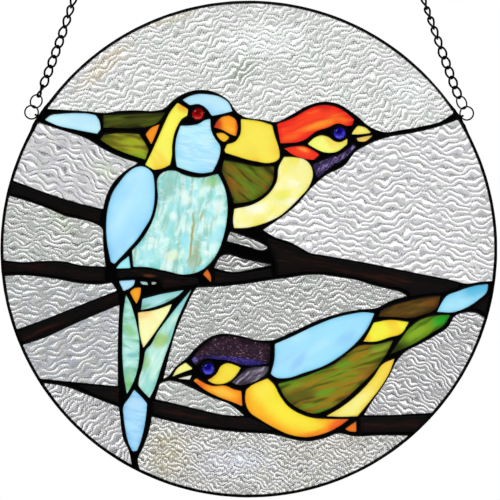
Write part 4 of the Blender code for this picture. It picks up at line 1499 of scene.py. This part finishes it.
@dataclass
class SolderSeams:
    """The soldered seams: rounded beads over the edges of the panes, one net all over the panel.

    Attributes:
        board: The panel's plane.
        reach: Radius of the net, in metres.
        foot: Height of a bead's edge over the middle, where it lies on the glass.
        crown: Height of its middle.
        half_width: Distance from a bead's edge to its full height.
        lumps: Height of the broad and of the small unevenness.
        spacing: Distance between points of the mesh.
        rows: Distance of two rows of points from each opening. The second has every other point.
        clear_of: Least distance of the other points from an opening.
        merge: Side of a square that keeps a single point.
        rim_step: Distance between points on the net's round edge.
    """

    board: Board
    reach: float
    foot: float = 1.55 * MM
    crown: float = 2.30 * MM
    half_width: float = 1.45 * MM
    lumps: tuple[float, float] = (0.10 * MM, 0.05 * MM)
    spacing: float = 0.80 * MM
    rows: tuple[float, float] = (0.34 * MM, 0.82 * MM)
    clear_of: float = 1.15 * MM
    merge: float = 0.30 * MM
    rim_step: float = 1.1 * MM

    def depth(self, points: Array, openings: list[Array]) -> Array:
        """Distance from each point to the nearest opening, up to twice the half width.

        Args:
            points: Plane coordinates.
            openings: The openings.

        Returns:
            A distance for each point.
        """
        limit = 2 * self.half_width
        found = np.full(len(points), limit)
        for loop in openings:
            beside = near(points, loop, limit)
            if len(beside):
                found[beside] = np.minimum(found[beside], distance_to(points[beside], loop))
        return found

    def within(self, openings: list[Array]) -> Array:
        """Points between the outlines: two rows along each opening, then a grid in the middle.

        Args:
            openings: The openings.

        Returns:
            Plane coordinates of the points.
        """
        rows = []
        for skip, inset in enumerate(self.rows, 1):
            row = np.vstack([moved_out(loop, inset)[::skip] for loop in openings])
            rows.append(row[self.depth(row, openings) > inset * 0.93])
        grid = hex_points(np.full(2, -self.reach), np.full(2, self.reach), self.spacing)
        grid = grid[np.linalg.norm(grid, axis=1) < self.reach - 0.5 * self.spacing]
        for loop in openings:
            beside = near(grid, loop)
            if len(beside):
                grid = np.delete(grid, beside[inside(grid[beside], loop)], axis=0)
        grid = grid[self.depth(grid, openings) > self.clear_of]
        points = np.vstack([*rows, grid])
        points = points[np.linalg.norm(points, axis=1) < self.reach - 0.3 * MM]
        cell = np.round(points / self.merge).astype(np.int64)
        _, first = np.unique(cell, axis=0, return_index=True)
        return points[first]

    def height(self, points: Array, openings: list[Array], seed: int) -> Array:
        """Height of the beads: an arc of a circle across each one, with lumps along it.

        Args:
            points: Plane coordinates.
            openings: The openings.
            seed: Seed of the lumps.

        Returns:
            Height of each point over the panel's middle.
        """
        depth = self.depth(points, openings)
        rise = np.clip(depth / self.half_width, 0, 1)
        arc = np.sqrt(1 - (1 - rise) ** 2)
        pool = np.clip(depth / self.half_width - 1, 0, 1)
        broad, small = self.lumps
        lumps = broad * Swell(9 * MM, seed)(points) + small * Swell(3.4 * MM, seed + 1)(points)
        return self.foot + (self.crown - self.foot) * (arc + 0.12 * pool) + lumps * arc

    def build(self, openings: list[Array], shader: Shader) -> None:
        """Makes the net of seams, front and back.

        Args:
            openings: The openings.
            shader: The solder.
        """
        angle = np.linspace(0, TAU, round(TAU * self.reach / self.rim_step), endpoint=False)
        edge = self.reach * np.stack([np.cos(angle), np.sin(angle)], -1)
        plane, triangles = triangulated([edge, *openings], self.within(openings))
        front = self.height(plane, openings, seed=21)
        back = -self.height(plane, openings, seed=33)
        points, faces = slab(plane, triangles, front, back, self.board)
        make_piece("solder_seams", points, faces, shader, ["solder_lattice"])


@dataclass
class GlassPanes:
    """All the panes. Each runs a little way under the solder round it.

    Attributes:
        board: The panel's plane.
        lap: How far a pane reaches under its seams, in metres.
        half: Half of the glass's thickness.
        ripple: Relief of the clear glass.
        ridge: Height of its ridges over their mean.
        sag: Height of the slow waves in smooth glass.
        clear_step: Distance between points of a clear pane.
        opal_step: Distance between points of an opal pane.
        shift: Furthest that a pane's ripple is moved on its sheet, in metres.
    """

    board: Board
    lap: float = 0.30 * MM
    half: float = 1.48 * MM
    ripple: Ripple = field(default_factory=Ripple)
    ridge: float = 0.11 * MM
    sag: float = 0.03 * MM
    clear_step: float = 0.62 * MM
    opal_step: float = 1.2 * MM
    shift: float = 0.4

    def cut(self, opening: Array, spacing: float) -> tuple[Array, Array]:
        """Triangles of a pane that fills an opening.

        Args:
            opening: Plane coordinates of the opening.
            spacing: Distance between points inside the pane.

        Returns:
            Plane coordinates of the points, and rows of three point numbers.
        """
        outline = moved_out(opening, self.lap)
        grid = hex_points(outline.min(0), outline.max(0), spacing)
        grid = grid[inside(grid, outline)]
        if len(grid):
            grid = grid[distance_to(grid, outline) > 0.55 * spacing]
        return triangulated([outline], grid)

    def clear(self, name: str, opening: Array, cut: Clear, nodes: list[str]) -> None:
        """A pane of ripple glass: ridges in front, nearly flat behind.

        Its UV map holds its place on the sheet: along the ridges and across them, in metres.

        Args:
            name: The pane's name.
            opening: Plane coordinates of its opening.
            cut: Its cut of ripple glass.
            nodes: CAD nodes that it stands for.
        """
        plane, triangles = self.cut(opening, self.clear_step)
        cosine_of, sine_of = math.cos(math.radians(cut.turn)), math.sin(math.radians(cut.turn))
        random = np.random.default_rng(sum(map(ord, name)))
        shift = random.uniform(-self.shift, self.shift, 2)
        x = (plane[:, 0] * cosine_of - plane[:, 1] * sine_of) / cut.size + shift[0]
        y = (plane[:, 0] * sine_of + plane[:, 1] * cosine_of) / cut.size + shift[1]
        ripple = replace(self.ripple, fan=cut.fan)
        even, _ = ripple.both(x, y)
        front = self.half - self.ridge + self.ridge * even
        back = -self.half + self.sag * Swell(14 * MM, 5)(plane)
        points, faces = slab(plane, triangles, front, back, self.board)
        sheet = np.tile(np.stack([x, y], -1), (2, 1))
        shader = cut.shader(f"glass_{name}", self.board, ripple)
        make_piece(f"pane_{name}", points, faces, shader, nodes, sheet)

    def opal(self, name: str, opening: Array, finish: Opal, nodes: list[str]) -> None:
        """A pane of opal glass, a little wavy on both faces.

        Its UV map holds how far each point lies from the solder, in squares.

        Args:
            name: The pane's name.
            opening: Plane coordinates of its opening.
            finish: Its look.
            nodes: CAD nodes that it stands for.
        """
        plane, triangles = self.cut(opening, self.opal_step)
        front = self.half + 0.035 * MM * Swell(11 * MM, 7)(plane) - self.sag
        back = -self.half + self.sag * Swell(13 * MM, 8)(plane) + self.sag
        points, faces = slab(plane, triangles, front, back, self.board)
        inward = distance_to(plane, opening) * inside(plane, opening) / self.board.square
        sheet = np.tile(np.stack([inward, 0 * inward], -1), (2, 1))
        shader = finish.shader(f"glass_{name}", self.board)
        make_piece(f"pane_{name}", points, faces, shader, nodes, sheet)

    def build(self, openings: Mapping[str, Array], solids: Iterable[str]) -> None:
        """Makes every pane from its opening.

        Args:
            openings: The openings by the names of their panes.
            solids: Names of the panes that have a CAD node.
        """
        solids = set(solids)
        for name, opening in openings.items():
            nodes = [name] if name in solids else []
            if name in CLEAR_CUTS:
                self.clear(name, opening, CLEAR_CUTS[name], nodes)
            elif name in PANES:
                self.opal(name, opening, PANES[name], nodes)


@dataclass
class EyeJewels:
    """The birds' eyes: round cabochons, domed on both sides, held by the solder round them.

    Attributes:
        board: The panel's plane.
        dome: Height of the dome over the panel's middle, in metres.
        lap: How far a jewel reaches past its solid, under the solder.
        power: Shape of the dome, where 2 is a ball and more is flatter.
        rings: Points from one pole to the other.
        sides: Points round a jewel.
    """

    board: Board
    dome: float = 2.75 * MM
    lap: float = 0.25 * MM
    power: float = 2.4
    rings: int = 33
    sides: int = 64

    def build(self, name: str, finish: Jewel) -> None:
        """Turns one jewel about its axis: wide is the root of 1 less the height to a power.

        Args:
            name: Its CAD node.
            finish: Its glass.
        """
        low, high = np.array(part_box(name))
        middle = (low + high) / 2
        radius = (high[0] - low[0]) / 2 + self.lap
        lift = np.linspace(-1, 1, self.rings)[1:-1, None]
        around = np.linspace(0, TAU, self.sides, endpoint=False)[None]
        wide = radius * (1 - np.abs(lift) ** self.power) ** 0.5
        offset = [wide * np.cos(around), -self.dome * lift + 0 * around, wide * np.sin(around)]
        rings = np.stack(offset, -1) + middle
        poles = middle + np.array([[0, self.dome, 0], [0, -self.dome, 0]])
        points = np.vstack([rings.reshape(-1, 3), poles])
        count, sides = rings.shape[:2]
        number = np.arange(count * sides).reshape(count, sides)
        here, there = number[:-1], number[1:]
        side = [np.stack([here, np.roll(here, -1, 1), np.roll(there, -1, 1)], -1).reshape(-1, 3),
                np.stack([here, np.roll(there, -1, 1), there], -1).reshape(-1, 3)]
        caps = [np.stack([np.full(sides, count * sides), np.roll(number[0], -1), number[0]], -1),
                np.stack([np.full(sides, count * sides + 1), number[-1], np.roll(number[-1], -1)], -1)]
        plane = np.array([middle[0] - self.board.centre[0], middle[2] - self.board.centre[2]])
        squares = plane / (self.board.square, -self.board.square) + self.board.cartoon_centre
        shader = finish.shader(f"jewel_{name}", self.board, tuple(squares.tolist()))
        make_piece(f"jewel_{name}", points, np.vstack([*side, *caps]), shader, [name])


@dataclass(frozen=True)
class Chain:
    """One chain: a ring through the band's wire eye, a second ring, and curb links up to the top.

    Attributes:
        node: Its CAD node.
        way: Cartoon points: its place on the band, its lowest link, its middle and its top.
        turns: Turn of each link about the chain, in degrees, from the lowest.
        second: Half height, half width and turn of the second ring, in metres and degrees.
    """

    node: str
    way: tuple[Spot, Spot, Spot, Spot]
    turns: tuple[float, ...]
    second: tuple[float, float, float]


@dataclass
class Hangings:
    """The edge band with its wire eyes, and the two chains.

    Attributes:
        board: The panel's plane.
        band_wall: Thickness of the band, in metres.
        band_half: Half of its depth.
        eye_sink: Depth of a wire eye in the band.
        eye_size: Outer diameter of a wire eye.
        wire: Diameter of the eyes' and the links' wire.
        ring_wire: Diameter of the rings' wire.
        ring_size: Outer diameter of the lower ring.
        pitch: Distance between links.
        overlap: How much longer two neighbours' paths are together than their distance.
        link_width: Outer width of a link.
        twist: Turn of a link's end from its middle, in radians.
        mound: Length and height of the solder over a wire eye's foot.
        square_off: Power of the band's section; less is squarer.
        band_steps: Points round the band, and round its section.
        loop_steps: Points along a ring or a link.
        eye_steps: Points along a wire eye.
        chains: The chains.
    """

    board: Board
    band_wall: float = 1.2 * MM
    band_half: float = 2.7 * MM
    eye_sink: float = 0.8 * MM
    eye_size: float = 3.8 * MM
    wire: float = 1.28 * MM
    ring_wire: float = 0.95 * MM
    ring_size: float = 9.2 * MM
    pitch: float = 6.48 * MM
    overlap: float = 0.9 * MM
    link_width: float = 5.9 * MM
    twist: float = 0.72
    mound: tuple[float, float] = (17.0 * MM, 0.75 * MM)
    square_off: float = 0.45
    band_steps: tuple[int, int] = (900, 28)
    loop_steps: int = 56
    eye_steps: int = 40
    chains: tuple[Chain, ...] = ()

    @property
    def eye_reach(self) -> float:
        """Distance of a wire eye's middle from the panel's centre."""
        return self.board.radius - self.eye_sink + self.eye_size / 2

    def outward(self, chain: Chain) -> Array:
        """The direction from the panel's centre to a chain's place on the band."""
        way = self.board.plane(chain.way[0])
        return way / np.linalg.norm(way)

    def band(self, shader: Shader) -> None:
        """The band: a rounded strip carried round the edge, with solder mounds at the eyes.

        The section is a superellipse: the cosine and the sine of the way round it, each to a
        power under 1, narrow in radius and deep. The mounds swell it outwards and in depth by a
        bell curve along the edge.

        Args:
            shader: The solder.
        """
        around, across_steps = self.band_steps
        angle = np.linspace(0, TAU, around, endpoint=False)[:, None]
        section = np.linspace(0, TAU, across_steps, endpoint=False)[None]
        radial, across = (np.sign(part(section)) * np.abs(part(section)) ** self.square_off
                          for part in (np.cos, np.sin))
        swell = np.zeros_like(angle)
        length, height = self.mound
        for chain in self.chains:
            out = self.outward(chain)
            off = np.angle(np.exp(1j * (angle - math.atan2(out[1], out[0])))) * self.board.radius
            swell = swell + 1 / (1 + (off / (length / 2)) ** 6)
        edge = np.concatenate([np.cos(angle), np.sin(angle)], -1) * self.board.radius
        lumps = 0.5 + 0.5 * np.tanh(Swell(10 * MM, 3)(edge)[:, None])
        bumps = 0.5 + 0.5 * np.tanh(Swell(2.6 * MM, 4)(edge)[:, None])
        outer = height * swell * (0.75 + 0.45 * bumps) * np.clip(radial, 0, 1)
        half = self.band_half - 0.10 * MM * lumps + 0.25 * MM * swell * bumps
        middle = self.board.radius - self.band_wall / 2 - 0.02 * MM
        reach = middle + (self.band_wall / 2 - 0.06 * MM * lumps) * radial + outer
        points = np.stack([self.board.centre[0] + reach * np.cos(angle),
                           self.board.centre[1] - half * across,
                           self.board.centre[2] + reach * np.sin(angle)], -1)
        eyes = [self.eye(chain) for chain in self.chains]
        faces = [closed_grid(points)]
        stack = [points.reshape(-1, 3)]
        for grid in eyes:
            faces.append(closed_grid(grid) + sum(map(len, stack)))
            stack.append(grid.reshape(-1, 3))
        make_piece("rim_band", np.vstack(stack), np.vstack(faces), shader, ["edge_band"])

    def eye(self, chain: Chain) -> Array:
        """Surface of the wire eye that a ring hangs in: a circle square to the band.

        Args:
            chain: The chain that it is for.

        Returns:
            A grid of world points: along the wire and round it.
        """
        angle = np.linspace(0, TAU, self.eye_steps, endpoint=False)
        radius = (self.eye_size - self.wire) / 2
        plane = self.outward(chain) * (self.eye_reach + radius * np.cos(angle))[:, None]
        return round_wire(self.board.world(plane, radius * np.sin(angle)), self.wire / 2)

    def loop(self, centre: Array, along: Array, half: Spot, turn: float, twist: float = 0.0) -> Array:
        """Closed path of a ring or a link.

        It is an oval whose width turns about the chain as it runs from end to end, by the twist
        at each end, so that links lie flat and still pass through each other.

        Args:
            centre: Plane coordinates of its middle.
            along: The chain's direction there.
            half: Half length and half width of the path.
            turn: Turn of its width about the chain, in degrees.
            twist: More turn at its upper end and less at its lower end, in radians.

        Returns:
            World points of the path.
        """
        t = np.linspace(0, TAU, self.loop_steps, endpoint=False)
        lean = math.radians(turn) + twist * np.cos(t)
        across = np.array([along[1], -along[0]])
        wide = half[1] * np.sin(t)
        plane = centre + along * (half[0] * np.cos(t))[:, None]
        plane = plane + across * (wide * np.cos(lean))[:, None]
        return self.board.world(plane, wide * np.sin(lean))

    def centres(self, chain: Chain) -> tuple[Array, Array]:
        """Middles and directions of the rings and links, each one contact on from the last.

        The way is straight from the lower ring to the lowest link, then an even curve through
        the middle point to the top.

        Args:
            chain: The chain.

        Returns:
            Plane coordinates of the middles, and the chain's direction at each.
        """
        ring = (self.ring_size - 1.0 * MM) / 2
        half = (self.pitch + self.overlap) / 2
        steps = np.array([ring, ring] + [half] * len(chain.turns))
        run = np.concatenate([[0.0], np.cumsum(steps[:-1] + steps[1:] - self.overlap)])
        _, lowest, middle, top = (self.board.plane(point) for point in chain.way)
        t = np.linspace(0, 1, 60)[:, None]
        bow = 2 * middle - (lowest + top) / 2
        curve = (1 - t) ** 2 * lowest + 2 * t * (1 - t) * bow + t**2 * top
        line = np.vstack([self.outward(chain) * (self.eye_reach + ring), curve])
        passed = np.concatenate([[0.0], np.cumsum(np.linalg.norm(np.diff(line, axis=0), axis=1))])
        at = [np.stack([np.interp(run + shift, passed, line[:, axis]) for axis in (0, 1)], -1)
              for shift in (0.0, -0.5 * MM, 0.5 * MM)]
        along = at[2] - at[1]
        return at[0], along / np.linalg.norm(along, axis=1, keepdims=True)

    def chain(self, chain: Chain, shader: Shader) -> None:
        """Makes one chain as wires bent round the paths of its rings and links.

        Args:
            chain: The chain.
            shader: Its metal.
        """
        centres, ways = self.centres(chain)
        ring = (self.ring_size - self.ring_wire) / 2
        *second, lean = chain.second
        rings = [self.loop(centres[0], ways[0], (ring, ring), 0.0),
                 self.loop(centres[1], ways[1], second, lean)]
        grids = [round_wire(path, self.ring_wire / 2) for path in rings]
        half = ((self.pitch + self.wire) / 2, (self.link_width - self.wire) / 2)
        for centre, way, turn in zip(centres[2:], ways[2:], chain.turns):
            grids.append(round_wire(self.loop(centre, way, half, turn, self.twist), self.wire / 2))
        points = np.vstack([grid.reshape(-1, 3) for grid in grids])
        starts = np.cumsum([0] + [grid.shape[0] * grid.shape[1] for grid in grids])
        faces = np.vstack([closed_grid(grid) + start for grid, start in zip(grids, starts)])
        make_piece(f"links_{chain.node}", points, faces, shader, [chain.node])

    def build(self, solder: Shader, metal: Shader) -> None:
        """Makes the band, its eyes and the chains.

        Args:
            solder: Finish of the band and the eyes.
            metal: Finish of the chains.
        """
        self.band(solder)
        for chain in self.chains:
            self.chain(chain, metal)


@dataclass(frozen=True)
class Softbox:
    """A square soft lamp that faces the panel's centre.

    Attributes:
        name: Its name.
        place: Its middle, from the panel's centre, in metres.
        size: Its side, in metres.
        power: Its power, in watts.
    """

    name: str
    place: tuple[float, float, float]
    size: float
    power: float


@dataclass
class Studio:
    """A plain pale floor and plain soft light, with the camera square to the panel.

    Attributes:
        board: The panel's plane.
        frame: Cartoon point at the picture's centre.
        side: The picture's side in squares.
        lens: Focal length in millimetres.
        film: Width of the film in millimetres.
        dimmed: Share of the white that reflections lose.
        passing: Light that glass gains from behind.
        floor_side: The floor's side, in metres.
        floor_drop: Depth of the floor under the panel's centre.
        floor_colour: The floor's colour.
        lamps: The lamps.
    """

    board: Board
    frame: Spot = (250.0, 250.0)
    side: float = 500.0
    lens: float = 200.0
    film: float = 36.0
    dimmed: float = 0.97
    passing: float = 0.16
    floor_side: float = 4.0
    floor_drop: float = 1.3
    floor_colour: Colour = (0.95, 0.95, 0.945)
    lamps: tuple[Softbox, ...] = (
        Softbox("key", (-0.9, -1.0, 1.0), 0.7, 3.4),
        Softbox("fill", (1.1, -0.9, 0.2), 0.9, 2.0),
        Softbox("rear", (0.5, 1.1, 1.0), 0.9, 3.0))

    def world(self) -> None:
        """White all round. Its reflections are dimmer, so that black metal stays black."""
        world = bpy.data.worlds.new("studio")
        world.use_nodes = True
        world.cycles.sampling_method = "NONE"
        bpy.context.scene.world = world
        nodes, links = world.node_tree.nodes, world.node_tree.links
        path = nodes.new("ShaderNodeLightPath")
        background = nodes["Background"]
        background.inputs["Color"].default_value = (1.0, 1.0, 1.0, 1.0)

        def term(operation: str, first: object, second: object) -> bpy.types.NodeSocket:
            """Math node on two sockets or numbers.

            Args:
                operation: The node's operation.
                first: The first value.
                second: The second value.

            Returns:
                Its result.
            """
            node = nodes.new("ShaderNodeMath")
            node.operation = operation
            for socket, value in zip(node.inputs, (first, second)):
                if isinstance(value, bpy.types.NodeSocket):
                    links.new(value, socket)
                else:
                    socket.default_value = value
            return node.outputs[0]

        passing = path.outputs["Is Transmission Ray"]
        mirrored = term("MULTIPLY", path.outputs["Is Glossy Ray"], term("SUBTRACT", 1.0, passing))
        strength = term("SUBTRACT", 1.0, term("MULTIPLY", mirrored, self.dimmed))
        strength = term("ADD", strength, term("MULTIPLY", passing, self.passing))
        links.new(strength, background.inputs["Strength"])

    def lamp(self, box: Softbox) -> None:
        """Hangs one lamp, turned to face the panel's centre.

        Args:
            box: The lamp.
        """
        data = bpy.data.lights.new(box.name, "AREA")
        data.size = box.size
        data.energy = box.power
        lamp = bpy.data.objects.new(box.name, data)
        lamp.location = tuple(middle + off for middle, off in zip(self.board.centre, box.place))
        right, back, up = box.place
        lamp.rotation_euler = (math.atan2(math.hypot(right, back), up), 0.0, math.atan2(right, -back))
        bpy.context.scene.collection.objects.link(lamp)

    def floor(self) -> None:
        """Lays the floor, a plain pale square."""
        x, y, z = self.board.centre
        bpy.ops.mesh.primitive_plane_add(size=self.floor_side, location=(x, y, z - self.floor_drop))
        floor = bpy.context.object
        floor.name = "floor"
        paper = Shader("pale_floor")
        paper.dress(Base_Color=self.floor_colour, Roughness=0.9)
        floor.data.materials.append(paper.material)

    def camera(self) -> None:
        """Stands the camera square to the panel, so far off that the picture's side fills it."""
        data = bpy.data.cameras.new("camera")
        data.lens = self.lens
        data.sensor_width = self.film
        camera = bpy.data.objects.new("camera", data)
        distance = self.side * self.board.square * self.lens / self.film
        x, y, z = self.board.world(self.board.plane(self.frame), distance)
        camera.location = (x, y, z)
        camera.rotation_euler = (math.radians(90), 0.0, 0.0)
        bpy.context.scene.collection.objects.link(camera)
        bpy.context.scene.camera = camera

    def build(self) -> None:
        """Makes the world, the lamps, the floor and the camera."""
        self.world()
        for box in self.lamps:
            self.lamp(box)
        self.floor()
        self.camera()
        bpy.context.scene.view_settings.view_transform = "Standard"


CHAINS = (
    Chain("chain_left", ((31.8, 112.4), (45.1, 80.5), (62.0, 34.5), (76.2, -9.5)),
          (80.0, 8.0, 4.0, 0.0, 4.0, 8.0, 14.0, -40.0, -50.0, -56.0, -60.0),
          (4.15 * MM, 3.9 * MM, 22.0)),
    Chain("chain_right", ((464.8, 114.5), (456.2, 90.9), (438.4, 41.5), (420.0, -10.4)),
          (6.0, 4.0, 0.0, 4.0, 8.0, -36.0, -44.0, -50.0, -58.0, -66.0, -72.0),
          (4.1 * MM, 3.1 * MM, 30.0)),
)

# Each jewel's deep colour, then the colour of its painted crescent of light.
BLUE_EYE = Jewel(Slot.BLUE_JEWEL, (8, 2, 112), (60, 52, 200))
JEWELS: dict[str, Jewel] = {
    "front_bird_eye": Jewel(Slot.RED_JEWEL, (122, 0, 4), (186, 14, 18)),
    "back_bird_eye": BLUE_EYE,
    "lower_bird_eye": BLUE_EYE,
}

SOLDER_FINISH = BlackMetal(Slot.SOLDER)
CHAIN_FINISH = BlackMetal(Slot.CHAIN, (0.008, 0.008, 0.0085), (0.25, 0.36), 0.02 * MM)


def main() -> None:
    """Builds the studio and the panel's pieces in order."""
    logging.basicConfig(level=logging.INFO, format="%(message)s")
    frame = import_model()
    low, high = np.array(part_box("edge_band"))
    board = Board(tuple(((low + high) / 2).tolist()), float(high[0] - low[0]) / 2)
    Studio(board).build()

    panes = [name for name in frame["nodes"] if name in CLEAR_CUTS or name in PANES]
    loops = lattice_loops(frame["nodes"]["solder_lattice"], board)
    found = named_openings(loops, [*panes, *JEWELS], board)
    opened = opened_to_band(found, BAND_GAIN)
    openings = {name: smooth_outline(loop, OUTLINE_STEP) for name, loop in opened.items()}
    openings |= {name: slimmed(openings[name], board) for name in SLIM_PANES}

    solder = SOLDER_FINISH.shader(board)
    Hangings(board, chains=CHAINS).build(solder, CHAIN_FINISH.shader(board))
    SolderSeams(board, board.radius - NET_INSET).build(list(openings.values()), solder)
    for name, finish in JEWELS.items():
        EyeJewels(board).build(name, finish)
    GlassPanes(board).build(openings, panes)


if __name__ == "__main__":
    main()
